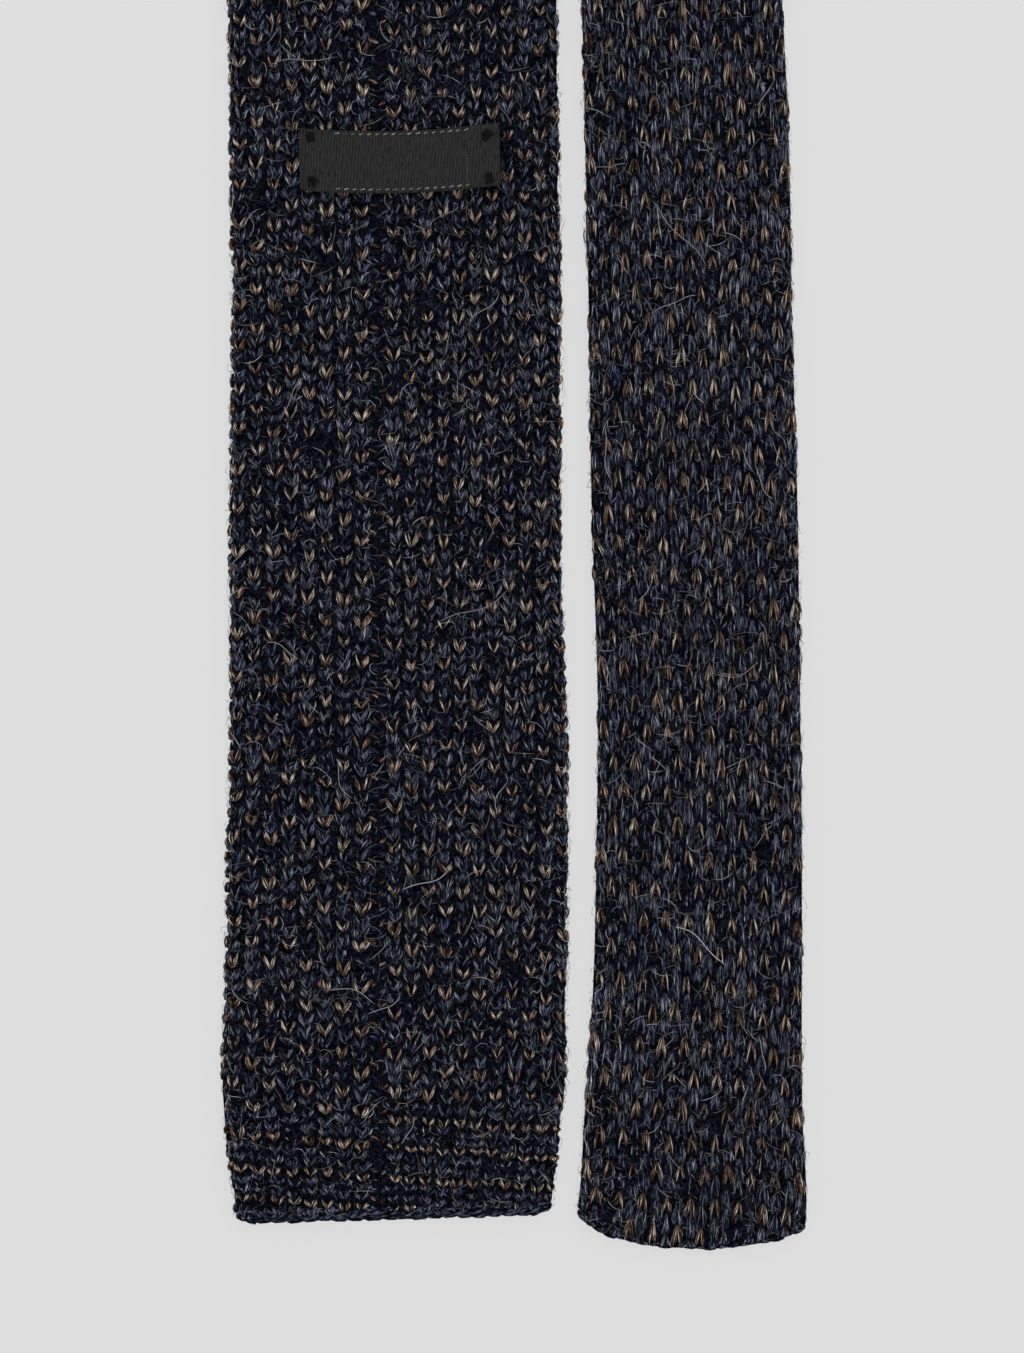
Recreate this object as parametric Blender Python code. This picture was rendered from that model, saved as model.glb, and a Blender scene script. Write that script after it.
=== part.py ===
"""A knitted wool tie, laid flat and folded over at the neck, with the two blades side by side.

The tie is one flattened knit tube. Its wide blade lies back up, the fold brings the rest of the tube
over on itself, and the narrow blade comes down beside the wide one with its front up.
Units are metres. +Y runs from the blade tips to the fold, +X from the wide blade to the narrow one.
"""

import math

import bmesh
import bpy
from mathutils import Vector

# Lengths, from the wide blade's tip
LEG_LENGTH = 0.725
TAPER_START = 0.470
TAPER_END = 0.600
NARROW_TIP_DROP = 0.0064

# Widths across the flattened tube
WIDE_WIDTH = 0.0700
NECK_WIDTH = 0.0415
NARROW_WIDTH = 0.0425
BLADE_GAP = 0.0048

# The knit's two layers
KNIT_WALL = 0.0023
LAYER_GAP = 0.0005
SEAM_OFFSET = -0.0036
SEAM_GROOVE = 0.0004
SEAM_GROOVE_HALF = 0.0035

# How the folded tube lies on itself
LIE_GAP = 0.0004
FOLD_INNER_RADIUS = 0.0015
FOLD_SETTLE = 0.040
DRAPE_RUN = 0.017
DROP_GAP = 0.0035

# Tip of the wide blade
WIDE_CORNER = 0.0034
WIDE_TIP_SLANT = 0.0022
WIDE_TIP_SLANT_RUN = 0.0136
TIP_LIP = 0.0016

# Tip of the narrow blade
NARROW_TIP_LOW = 0.0013
NARROW_TIP_LEFT_RISE = 0.0090
NARROW_TIP_RIGHT_RISE = 0.0056
NARROW_TIP_RUN = 0.0140
NARROW_CAVITY_END = 0.0060

# The sewn-on label with its turned-under ends, and the thread tacks at its corners
LABEL_LENGTH = 0.0403
LABEL_HEIGHT = 0.0128
LABEL_CLOTH = 0.00045
LABEL_TURN_UNDER = 0.0070
LABEL_SEAT_GAP = 0.0003
LABEL_ALONG = 0.2185
LABEL_ASIDE = 0.0013
LABEL_TURN = math.radians(1.7)
LABEL_SAG = 0.0011
TACK_LENGTH = 0.0021
TACK_WIDTH = 0.0013
TACK_HEIGHT = 0.0005
TACK_GAP = 0.0003

# Colour and roughness of each material
WOOL = {"name": "navy and brown wool", "colour": (0.018, 0.017, 0.024, 1.0), "roughness": 0.95}
SATIN = {"name": "charcoal satin ribbon", "colour": (0.024, 0.024, 0.025, 1.0), "roughness": 0.55}
THREAD = {"name": "black thread", "colour": (0.004, 0.004, 0.005, 1.0), "roughness": 0.6}

# Wide blade: shares of TAPER_START up from the tip, and of half the blade's width to each edge.
# The right edge steps in where the striped hem begins.
WIDE_OUTLINE = [
    {"along": 0.000, "left": 0.962, "right": 0.934},
    {"along": 0.010, "left": 0.966, "right": 0.940},
    {"along": 0.027, "left": 1.000, "right": 0.956},
    {"along": 0.043, "left": 1.022, "right": 0.974},
    {"along": 0.051, "left": 1.032, "right": 1.004},
    {"along": 0.066, "left": 1.040, "right": 1.010},
    {"along": 0.085, "left": 1.023, "right": 1.011},
    {"along": 0.150, "left": 1.010, "right": 1.023},
    {"along": 0.220, "left": 0.990, "right": 1.017},
    {"along": 0.290, "left": 0.994, "right": 0.983},
    {"along": 0.395, "left": 0.977, "right": 0.983},
    {"along": 0.465, "left": 0.989, "right": 0.971},
    {"along": 0.535, "left": 0.994, "right": 0.960},
    {"along": 0.700, "left": 0.990, "right": 0.984},
    {"along": 0.850, "left": 0.994, "right": 0.990},
    {"along": 1.000, "left": 0.985, "right": 0.985},
]

# Narrow blade: shares of LEG_LENGTH up from the wide tip's level, of the spread between the two
# blades' centres, and of NARROW_WIDTH.
NARROW_COURSE = [
    {"along": -0.008, "aside": 0.992, "width": 1.122},
    {"along": 0.008, "aside": 1.004, "width": 1.108},
    {"along": 0.024, "aside": 1.004, "width": 1.078},
    {"along": 0.042, "aside": 1.010, "width": 1.048},
    {"along": 0.070, "aside": 1.020, "width": 1.020},
    {"along": 0.105, "aside": 1.024, "width": 1.008},
    {"along": 0.145, "aside": 1.024, "width": 0.992},
    {"along": 0.205, "aside": 1.008, "width": 1.010},
    {"along": 0.255, "aside": 0.995, "width": 0.996},
    {"along": 0.303, "aside": 0.984, "width": 1.000},
    {"along": 0.347, "aside": 0.965, "width": 0.984},
    {"along": 0.414, "aside": 0.917, "width": 0.985},
    {"along": 0.483, "aside": 0.820, "width": 0.980},
    {"along": 0.552, "aside": 0.688, "width": 0.978},
    {"along": 0.621, "aside": 0.541, "width": 0.976},
    {"along": 0.690, "aside": 0.393, "width": 0.976},
    {"along": 0.759, "aside": 0.254, "width": 0.976},
    {"along": 0.828, "aside": 0.139, "width": 0.976},
    {"along": 0.897, "aside": 0.052, "width": 0.976},
    {"along": 0.952, "aside": 0.008, "width": 0.976},
    {"along": 1.000, "aside": 0.000, "width": 0.976},
]

# The label's tacks: shares of LABEL_TURN_UNDER in from the end, and of half of LABEL_HEIGHT in from
# the edge, and the tack's lean in degrees
TACKS = [
    {"corner": "top_left", "side_x": -1, "side_y": 1, "from_end": 0.20, "from_edge": 0.26, "lean": 8},
    {"corner": "low_left", "side_x": -1, "side_y": -1, "from_end": 0.21, "from_edge": 0.30, "lean": 24},
    {"corner": "top_right", "side_x": 1, "side_y": 1, "from_end": 0.37, "from_edge": 0.34, "lean": 38},
    {"corner": "low_right", "side_x": 1, "side_y": -1, "from_end": 0.32, "from_edge": 0.26, "lean": 12},
]

# Where the rings of the tube lie, and how fine they are
ACROSS_SHARES = (-1.0, -0.66, -0.34, -0.11, 0.0, 0.11, 0.34, 0.66, 1.0)
EDGE_STEPS = 3
TAPER_RINGS = 7
NECK_RINGS = 4
FOLD_RINGS = 9
OVERLAP_STEP = 0.015
LANDED_SHARE = 0.303
LEAN_STEP = 0.002
SHARP_ANGLE = math.radians(50)
LIP_SHARES = (0.0, 0.35, 1.0)
LIP_THICKNESS = (0.62, 0.90, 1.0)
NARROW_TIP_SHARES = (0.0, 0.07, 0.18, 0.43, 1.0)
NARROW_TIP_THICKNESS = (0.55, 0.84, 1.0, 1.0, 1.0)
LABEL_SECTIONS = 14
LABEL_NOSE = 0.3
TACK_SIDES = 10
TACK_RINGS = 6

# Worked out from the sizes above
THICKNESS = 2 * KNIT_WALL + LAYER_GAP
HALF_THICK = THICKNESS / 2
SPREAD = WIDE_WIDTH / 2 + BLADE_GAP + NARROW_WIDTH / 2
FOLD_RADIUS = FOLD_INNER_RADIUS + HALF_THICK
FOLD_CENTRE_Y = LEG_LENGTH - FOLD_RADIUS - HALF_THICK
FOLD_TOP_Z = HALF_THICK + 2 * FOLD_RADIUS
LYING_Z = THICKNESS + LIE_GAP
LABEL_STEP = 3 * LABEL_CLOTH


def smoothstep(t):
    """0 before t is 0, 1 after t is 1, and level at both ends."""
    t = min(max(t, 0.0), 1.0)
    return t * t * (3 - 2 * t)


def read_table(rows, column, along):
    """A table's column at a place between its rows, on one smooth curve through them."""
    last = len(rows) - 1
    along = min(max(along, rows[0]["along"]), rows[last]["along"])
    i = max(k for k in range(last) if rows[k]["along"] <= along)

    def slope(k):
        low, high = rows[max(k - 1, 0)], rows[min(k + 1, last)]
        return (high[column] - low[column]) / (high["along"] - low["along"])

    start, stop = rows[i], rows[i + 1]
    run = stop["along"] - start["along"]
    t = (along - start["along"]) / run
    ease = t * t * (3 - 2 * t)
    return (
        start[column] * (1 - ease)
        + stop[column] * ease
        + run * slope(i) * t * (1 - t) ** 2
        - run * slope(i + 1) * t * t * (1 - t)
    )


def wide_edges(y):
    """Distances from the wide leg's centre line to its left and right edges."""
    share = y / TAPER_START
    taper = smoothstep((y - TAPER_START) / (TAPER_END - TAPER_START))
    edges = []
    for side in ("left", "right"):
        blade = WIDE_WIDTH / 2 * read_table(WIDE_OUTLINE, side, share)
        edges.append(blade + (NECK_WIDTH / 2 - blade) * taper)
    return edges


def narrow_centre(y):
    return SPREAD * read_table(NARROW_COURSE, "aside", y / LEG_LENGTH)


def narrow_half(y):
    """Half the narrow leg's width, which meets the neck's at the fold."""
    blade = NARROW_WIDTH / 2 * read_table(NARROW_COURSE, "width", y / LEG_LENGTH)
    join = smoothstep((y - TAPER_START) / (TAPER_END - TAPER_START))
    return blade + (NECK_WIDTH / 2 - blade) * join


def narrow_across(y):
    """The level direction across the narrow leg, square to its course."""
    lean = (narrow_centre(y - LEAN_STEP) - narrow_centre(y + LEAN_STEP)) / (2 * LEAN_STEP)
    return Vector((1, lean, 0)).normalized()


def lift_at(x, y, left_gap):
    """How far the leg below holds the narrow leg off the surface."""
    held = 1 - smoothstep((left_gap - LIE_GAP) / (DROP_GAP - LIE_GAP))
    beyond = (x - wide_edges(y)[1]) / DRAPE_RUN
    return LYING_Z * held * (1 - smoothstep(beyond))


def fold_lift(y):
    """The upper leg stands a little higher near the fold and settles away from it."""
    stands = FOLD_TOP_Z - HALF_THICK - LYING_Z
    return stands * (1 - smoothstep((FOLD_CENTRE_Y - y) / FOLD_SETTLE))


def wide_point(y, u, n):
    """A point of the wide leg: u to the right, n up, which is the tie's back. The seam is sunk a little."""
    depth = max(0.0, n / HALF_THICK) * max(0.0, 1 - abs(u - SEAM_OFFSET) / SEAM_GROOVE_HALF)
    return Vector((u, y, HALF_THICK + n - SEAM_GROOVE * depth))


def fold_point(angle, u, n):
    """A point of the fold, which turns the tube's back inwards."""
    reach = FOLD_RADIUS - n
    centre_z = HALF_THICK + FOLD_RADIUS
    return Vector((u, FOLD_CENTRE_Y + reach * math.sin(angle), centre_z - reach * math.cos(angle)))


def narrow_point(y, u, n):
    """A point of the narrow leg: u to the right, and n down, which is the tie's back."""
    across = narrow_across(y)
    place = Vector((narrow_centre(y), y, 0)) + u * across
    left = Vector((narrow_centre(y), y, 0)) - narrow_half(y) * across
    left_gap = left.x - wide_edges(left.y)[1]
    place.z = HALF_THICK - n + lift_at(place.x, place.y, left_gap) + fold_lift(y)
    return place


def wide_tip_y(y, u):
    """The wide tip's edge slants a little, and the slant fades up the hem."""
    fade = max(0.0, 1 - y / WIDE_TIP_SLANT_RUN)
    return y + WIDE_TIP_SLANT * fade * u / WIDE_WIDTH


def narrow_tip_rise(u, half):
    """How far the narrow tip's arc has risen above its lowest point."""
    if u < NARROW_TIP_LOW:
        share = (NARROW_TIP_LOW - u) / (half + NARROW_TIP_LOW)
        depth = NARROW_TIP_LEFT_RISE
    else:
        share = (u - NARROW_TIP_LOW) / (half - NARROW_TIP_LOW)
        depth = NARROW_TIP_RIGHT_RISE
    return depth * (1 - math.sqrt(max(0.0, 1 - share * share)))


def loop_across(left, right, half_thick, edge_radius):
    """(u, n) round a flattened tube: over the back from left to right, and back along the front."""
    inner_left, inner_right = left - edge_radius, right - edge_radius
    middle = SEAM_OFFSET
    across = []
    for share in ACROSS_SHARES:
        reach = inner_right - middle if share > 0 else inner_left + middle
        across.append(middle + share * reach)
    loop = [(u, half_thick) for u in across]
    turns = [math.pi * k / EDGE_STEPS for k in range(1, EDGE_STEPS)]
    loop += [(inner_right + edge_radius * math.sin(a), edge_radius * math.cos(a)) for a in turns]
    loop += [(u, -half_thick) for u in reversed(across)]
    loop += [(-inner_left - edge_radius * math.sin(a), -edge_radius * math.cos(a)) for a in turns]
    return loop


def cavity_across(left, right):
    """(u, n) round the space between the layers."""
    return loop_across(left - KNIT_WALL, right - KNIT_WALL, LAYER_GAP / 2, LAYER_GAP / 2)


def corner_inset(distance, radius):
    """How far a rounded corner has drawn the edge in, at a distance from the end."""
    if distance >= radius:
        return 0.0
    return radius - math.sqrt(radius * radius - (radius - distance) ** 2)


def wide_rings():
    """Rings of the wide leg from the tip up: (outer points, cavity points)."""
    levels = [(share * TIP_LIP, thick) for share, thick in zip(LIP_SHARES, LIP_THICKNESS)]
    levels.append((max(WIDE_CORNER, 1.5 * TIP_LIP), 1.0))
    rows = [row["along"] * TAPER_START for row in WIDE_OUTLINE]
    levels += [(y, 1.0) for y in rows if y > levels[-1][0] + TIP_LIP / 2]
    taper_run = TAPER_END - TAPER_START
    levels += [(TAPER_START + taper_run * k / TAPER_RINGS, 1.0) for k in range(1, TAPER_RINGS + 1)]
    neck_run = FOLD_CENTRE_Y - TAPER_END
    levels += [(TAPER_END + neck_run * k / NECK_RINGS, 1.0) for k in range(1, NECK_RINGS)]
    rings = []
    for y, thick in levels:
        left, right = wide_edges(y)
        inset = corner_inset(y, WIDE_CORNER)
        outer = loop_across(left - inset, right - inset, HALF_THICK * thick, HALF_THICK * thick)
        cavity = cavity_across(left - inset, right - inset)
        rings.append(
            tuple([wide_point(wide_tip_y(y, u), u, n) for u, n in loop] for loop in (outer, cavity))
        )
    return rings


def fold_rings():
    """Rings round the fold at the neck."""
    half = NECK_WIDTH / 2
    loops = loop_across(half, half, HALF_THICK, HALF_THICK), cavity_across(half, half)
    angles = [math.pi * k / FOLD_RINGS for k in range(FOLD_RINGS + 1)]
    return [tuple([fold_point(a, u, n) for u, n in loop] for loop in loops) for a in angles]


def narrow_rings():
    """Rings of the narrow leg from the fold down to its tip."""
    tip_y = -NARROW_TIP_DROP
    tip_levels = [tip_y + NARROW_TIP_RUN * share for share in NARROW_TIP_SHARES]
    landed_y = LANDED_SHARE * LEG_LENGTH
    overlap = FOLD_CENTRE_Y - landed_y
    steps = round(overlap / OVERLAP_STEP)
    levels = [FOLD_CENTRE_Y - overlap * k / steps for k in range(1, steps + 1)]
    rows = [row["along"] * LEG_LENGTH for row in reversed(NARROW_COURSE)]
    levels += [y for y in rows if tip_levels[-1] + OVERLAP_STEP / 3 < y < landed_y - OVERLAP_STEP / 3]
    rings = []
    for y in levels:
        half = narrow_half(y)
        loops = loop_across(half, half, HALF_THICK, HALF_THICK), cavity_across(half, half)
        rings.append(tuple([narrow_point(y, u, n) for u, n in loop] for loop in loops))
    for y, thick in reversed(list(zip(tip_levels, NARROW_TIP_THICKNESS))):
        half = narrow_half(y)
        outer = loop_across(half, half, HALF_THICK * thick, HALF_THICK * thick)
        fade = 1 - (y - tip_y) / NARROW_TIP_RUN
        has_cavity = y - tip_y >= NARROW_CAVITY_END
        loops = [outer, cavity_across(half, half)] if has_cavity else [outer]
        ring = []
        for loop in loops:
            ring.append([narrow_point(y + fade * narrow_tip_rise(u, half), u, n) for u, n in loop])
        rings.append((ring[0], ring[1] if has_cavity else None))
    return rings


def skin(mesh, rings, inward):
    """Joins rings of vertices into a tube wall."""
    for near, far in zip(rings, rings[1:]):
        count = len(near)
        for k in range(count):
            face = (near[k], near[(k + 1) % count], far[(k + 1) % count], far[k])
            mesh.faces.new(reversed(face) if inward else face)


def close_end(mesh, ring, inward):
    """Closes a ring by joining its back to its front, point by point."""
    count = len(ring)
    half = len(ACROSS_SHARES)
    back = ring[:half]
    front = [ring[(2 * half + EDGE_STEPS - 2 - k) % count] for k in range(half)]
    for k in range(half - 1):
        face = (front[k], front[k + 1], back[k + 1], back[k])
        mesh.faces.new(reversed(face) if inward else face)
    right = [back[-1], *ring[half : half + EDGE_STEPS - 1], front[-1]]
    left = [front[0], *ring[2 * half + EDGE_STEPS - 1 :], back[0]]
    for rim in (right, left):
        mesh.faces.new(rim if inward else reversed(rim))


def make_object(name, mesh, material, parent):
    """A named object with its material, shaded smooth and hung from its parent."""
    bmesh.ops.recalc_face_normals(mesh, faces=mesh.faces)
    data = bpy.data.meshes.new(name)
    mesh.to_mesh(data)
    mesh.free()
    data.materials.append(material)
    data.shade_smooth()
    data.set_sharp_from_angle(angle=SHARP_ANGLE)
    made = bpy.data.objects.new(name, data)
    made.parent = parent
    bpy.context.scene.collection.objects.link(made)
    return made


def make_knit_tube(material, parent):
    """The tie itself: one flattened tube, open at the wide tip and closed at the narrow one."""
    rings = wide_rings() + fold_rings() + narrow_rings()
    mesh = bmesh.new()
    outer = [[mesh.verts.new(p) for p in ring[0]] for ring in rings]
    cavity = [[mesh.verts.new(p) for p in ring[1]] for ring in rings if ring[1]]
    skin(mesh, outer, inward=False)
    skin(mesh, cavity, inward=True)
    skin(mesh, [cavity[0], outer[0]], inward=False)
    close_end(mesh, outer[-1], inward=False)
    close_end(mesh, cavity[-1], inward=True)
    return make_object("knit_tube", mesh, material, parent)


def label_sag(x):
    """How far the label's middle hangs below its ends, in the plane that it lies in."""
    return LABEL_SAG * ((2 * x / LABEL_LENGTH) ** 2 - 1)


def label_heights(x):
    """The underside and the top of the label above its seat. Its ends are two cloths thick."""
    from_end = LABEL_LENGTH / 2 - abs(x)
    nose = min(1.0, from_end / LABEL_CLOTH)
    round_off = (1 - LABEL_NOSE) * LABEL_CLOTH * (1 - math.sqrt(1 - (1 - nose) ** 2))
    doubled = 1 - smoothstep((from_end - LABEL_TURN_UNDER) / LABEL_STEP)
    return LABEL_CLOTH * (1 - doubled) + round_off, 2 * LABEL_CLOTH - round_off


def make_label(material, parent):
    """The woven label, tacked at its corners so that the narrow blade can be passed behind it."""
    turned = LABEL_TURN_UNDER
    from_ends = [0.0, LABEL_NOSE * LABEL_CLOTH, LABEL_CLOTH, turned, turned + LABEL_STEP]
    left = [from_end - LABEL_LENGTH / 2 for from_end in from_ends]
    middle = [left[-1] * (1 - 2 * k / LABEL_SECTIONS) for k in range(1, LABEL_SECTIONS)]
    mesh = bmesh.new()
    rings = []
    for x in left + middle + [-x for x in reversed(left)]:
        under, top = label_heights(x)
        low, high = label_sag(x) - LABEL_HEIGHT / 2, label_sag(x) + LABEL_HEIGHT / 2
        corners = [(low, under), (high, under), (high, top), (low, top)]
        rings.append([mesh.verts.new(Vector((x, y, z))) for y, z in corners])
    skin(mesh, rings, inward=False)
    mesh.faces.new(rings[0])
    mesh.faces.new(reversed(rings[-1]))
    label = make_object("keeper_label", mesh, material, parent)
    label.location = (LABEL_ASIDE, LABEL_ALONG, THICKNESS + LABEL_SEAT_GAP)
    label.rotation_euler.z = LABEL_TURN
    return label


def make_tack(row, material, label):
    """A short knot of thread wraps, flat below, that holds one corner of the label."""
    mesh = bmesh.new()
    bmesh.ops.create_uvsphere(mesh, u_segments=TACK_SIDES, v_segments=TACK_RINGS, radius=0.5)
    below = [face for face in mesh.faces if face.calc_center_median().z < 0]
    bmesh.ops.delete(mesh, geom=below, context="FACES")
    bmesh.ops.edgeloop_fill(mesh, edges=[edge for edge in mesh.edges if edge.is_boundary])
    bmesh.ops.scale(mesh, vec=(TACK_WIDTH, TACK_LENGTH, 2 * TACK_HEIGHT), verts=mesh.verts)
    tack = make_object(f"label_tack_{row['corner']}", mesh, material, label)
    x = row["side_x"] * (LABEL_LENGTH / 2 - row["from_end"] * LABEL_TURN_UNDER)
    y = row["side_y"] * (1 - row["from_edge"]) * LABEL_HEIGHT / 2
    tack.location = (x, y + label_sag(x), 2 * LABEL_CLOTH + TACK_GAP)
    tack.rotation_euler.z = math.radians(row["lean"])
    return tack


def make_material(finish):
    material = bpy.data.materials.new(finish["name"])
    material.use_nodes = True
    shader = material.node_tree.nodes["Principled BSDF"]
    shader.inputs["Base Color"].default_value = finish["colour"]
    shader.inputs["Roughness"].default_value = finish["roughness"]
    shader.inputs["Metallic"].default_value = 0.0
    material.diffuse_color = finish["colour"]
    return material


def centre_on_footprint(made, parent):
    """Puts the origin at the middle of the tie's footprint, on the surface it lies on."""
    points = [v.co for v in made.data.vertices]
    low = [min(p[k] for p in points) for k in range(3)]
    high = [max(p[k] for p in points) for k in range(3)]
    parent.location = (-(low[0] + high[0]) / 2, -(low[1] + high[1]) / 2, -low[2])


def main():
    for old in list(bpy.data.objects):
        bpy.data.objects.remove(old)
    tie = bpy.data.objects.new("wool_tie", None)
    bpy.context.scene.collection.objects.link(tie)
    knit = make_knit_tube(make_material(WOOL), tie)
    label = make_label(make_material(SATIN), tie)
    thread = make_material(THREAD)
    for row in TACKS:
        make_tack(row, thread, label)
    centre_on_footprint(knit, tie)


main()
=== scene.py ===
import math

import bpy
import numpy as np
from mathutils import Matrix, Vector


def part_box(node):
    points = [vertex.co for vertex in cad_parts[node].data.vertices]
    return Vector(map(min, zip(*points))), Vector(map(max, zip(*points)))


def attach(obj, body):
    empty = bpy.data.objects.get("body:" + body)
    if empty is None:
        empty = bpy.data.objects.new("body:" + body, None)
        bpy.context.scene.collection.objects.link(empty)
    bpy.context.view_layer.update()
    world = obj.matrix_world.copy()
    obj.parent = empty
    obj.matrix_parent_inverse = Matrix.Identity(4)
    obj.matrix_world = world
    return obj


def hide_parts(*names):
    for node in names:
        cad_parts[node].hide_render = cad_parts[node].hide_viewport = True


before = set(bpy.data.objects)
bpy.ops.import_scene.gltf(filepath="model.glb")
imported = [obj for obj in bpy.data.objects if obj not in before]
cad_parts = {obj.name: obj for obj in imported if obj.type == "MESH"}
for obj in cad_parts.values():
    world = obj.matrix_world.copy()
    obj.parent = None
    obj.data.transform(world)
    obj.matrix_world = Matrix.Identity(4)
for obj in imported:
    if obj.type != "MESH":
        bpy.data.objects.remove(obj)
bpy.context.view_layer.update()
print("frame loaded:", ", ".join(sorted(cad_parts)))

mm = 0.001

# The tie's sizes, the same as the solids' but for wideCorner, which is 3.4 mm there
tieSize = {
    "legLength": 0.725, "taperStart": 0.470, "taperEnd": 0.600,
    "wideWidth": 0.0700, "neckWidth": 0.0415, "narrowWidth": 0.0425, "bladeGap": 0.0048,
    "knitWall": 0.0023, "layerGap": 0.0005,
    "seamOffset": -0.0036, "seamGroove": 0.0004, "seamGrooveHalf": 0.0035,
    "lieGap": 0.0004, "foldInnerRadius": 0.0015, "foldSettle": 0.040,
    "drapeRun": 0.017, "dropGap": 0.0035,
    "wideCorner": 0.0020, "tipSlant": 0.0022, "tipSlantRun": 0.0136, "tipLip": 0.0016,
    "narrowTipDrop": 0.0064, "narrowTipLow": 0.0013,
    "narrowLeftRise": 0.0090, "narrowRightRise": 0.0056, "narrowTipRun": 0.0140,
    "lipShares": (0.0, 0.35, 1.0), "lipThickness": (0.62, 0.90, 1.0),
    "narrowTipShares": (0.0, 0.07, 0.18, 1.0), "narrowTipThickness": (0.55, 0.84, 1.0, 1.0),
    "leanStep": 0.002, "courseSteps": 4000, "courseEnd": -0.03,
}

# Wide blade, from its tip up: share of taperStart, and shares of half the blade's width to its left
# and right edge
wideOutline = np.array([
    (0.000, 0.962, 0.934), (0.010, 0.966, 0.940), (0.027, 1.000, 0.956), (0.043, 1.022, 0.974),
    (0.051, 1.032, 1.004), (0.066, 1.040, 1.010), (0.085, 1.023, 1.011), (0.150, 1.010, 1.023),
    (0.220, 0.990, 1.017), (0.290, 0.994, 0.983), (0.395, 0.977, 0.983), (0.465, 0.989, 0.971),
    (0.535, 0.994, 0.960), (0.700, 0.990, 0.984), (0.850, 0.994, 0.990), (1.000, 0.985, 0.985),
])
# Narrow blade: share of legLength up from the wide tip's level, shares of the spread between the blades'
# centre lines and of narrowWidth
narrowCourse = np.array([
    (-0.008, 0.992, 1.122), (0.008, 1.004, 1.108), (0.024, 1.004, 1.078), (0.042, 1.010, 1.048),
    (0.070, 1.020, 1.020), (0.105, 1.024, 1.008), (0.145, 1.024, 0.992), (0.205, 1.008, 1.010),
    (0.255, 0.995, 0.996), (0.303, 0.984, 1.000), (0.347, 0.965, 0.984), (0.414, 0.917, 0.985),
    (0.483, 0.820, 0.980), (0.552, 0.688, 0.978), (0.621, 0.541, 0.976), (0.690, 0.393, 0.976),
    (0.759, 0.254, 0.976), (0.828, 0.139, 0.976), (0.897, 0.052, 0.976), (0.952, 0.008, 0.976),
    (1.000, 0.000, 0.976),
])
tableColumns = {"left": 1, "right": 2, "aside": 1, "width": 2}

# Worked out from the sizes above
thickness = 2 * tieSize["knitWall"] + tieSize["layerGap"]
halfThick = thickness / 2
spread = tieSize["wideWidth"] / 2 + tieSize["bladeGap"] + tieSize["narrowWidth"] / 2
foldRadius = tieSize["foldInnerRadius"] + halfThick
foldCentreY = tieSize["legLength"] - foldRadius - halfThick
foldTopZ = halfThick + 2 * foldRadius
foldEnd = foldCentreY + math.pi * foldRadius  # where the narrow leg starts, along the tie
lyingZ = thickness + tieSize["lieGap"]
seam = tieSize["seamOffset"]

# How the knit's columns of stitches, its wales, lie round the flattened tube, from the seam rightwards
wales = {
    "count": 39,
    "round": 39.6,          # the seam takes the room of 0.6 wale
    "seamHalf": 0.3,
    "edgeStretch": 0.8,     # wales are this much closer to flat round the two folded edges
    "knots": (0.0, 0.8, 10.8, 31.8, 38.8, 39.6),
    "shares": (0.0, 0.0231, 0.2622, 0.7945, 0.9748, 1.0),
    "flip": 12,             # the chequer changes step here, on the hidden side
}


def ease(t):
    t = np.clip(t, 0.0, 1.0)
    return t * t * (3 - 2 * t)


def runningTotal(steps):
    # from zero, along the last direction
    return np.concatenate([np.zeros_like(steps[..., :1]), np.cumsum(steps, axis=-1)], axis=-1)


def readRows(rows, column, along):
    # one smooth curve through a table's rows
    knots, values = rows[:, 0], rows[:, tableColumns[column]]
    last = len(rows) - 1
    low = np.maximum(np.arange(last + 1) - 1, 0)
    high = np.minimum(np.arange(last + 1) + 1, last)
    slopes = (values[high] - values[low]) / (knots[high] - knots[low])
    along = np.clip(along, knots[0], knots[-1])
    i = np.clip(np.searchsorted(knots, along, side="right") - 1, 0, last - 1)
    run = knots[i + 1] - knots[i]
    t = (along - knots[i]) / run
    bend = run * slopes[i] * t * (1 - t) ** 2 - run * slopes[i + 1] * t * t * (1 - t)
    return values[i] * (1 - ease(t)) + values[i + 1] * ease(t) + bend


def taperShare(y):
    return ease((y - tieSize["taperStart"]) / (tieSize["taperEnd"] - tieSize["taperStart"]))


def taper(blade, y):
    return blade + (tieSize["neckWidth"] / 2 - blade) * taperShare(y)


def wideEdge(y, side):
    return taper(tieSize["wideWidth"] / 2 * readRows(wideOutline, side, y / tieSize["taperStart"]), y)


def narrowCentre(y):
    return spread * readRows(narrowCourse, "aside", y / tieSize["legLength"])


def narrowHalf(y):
    return taper(tieSize["narrowWidth"] / 2 * readRows(narrowCourse, "width", y / tieSize["legLength"]), y)


def narrowLean(y):
    step = tieSize["leanStep"]
    return (narrowCentre(y - step) - narrowCentre(y + step)) / (2 * step)


# Places along the narrow leg, from the fold down past its tip, measured along its own course
narrowYs = np.linspace(foldCentreY, tieSize["courseEnd"], tieSize["courseSteps"])
narrowAlong = foldEnd + runningTotal(np.hypot(np.diff(narrowYs), np.diff(narrowCentre(narrowYs))))


def narrowYAt(along):
    return np.interp(along, narrowAlong, narrowYs)


def narrowAlongAt(y):
    return float(np.interp(-y, -narrowYs, narrowAlong))


tieEnd = narrowAlongAt(-tieSize["narrowTipDrop"])


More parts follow.
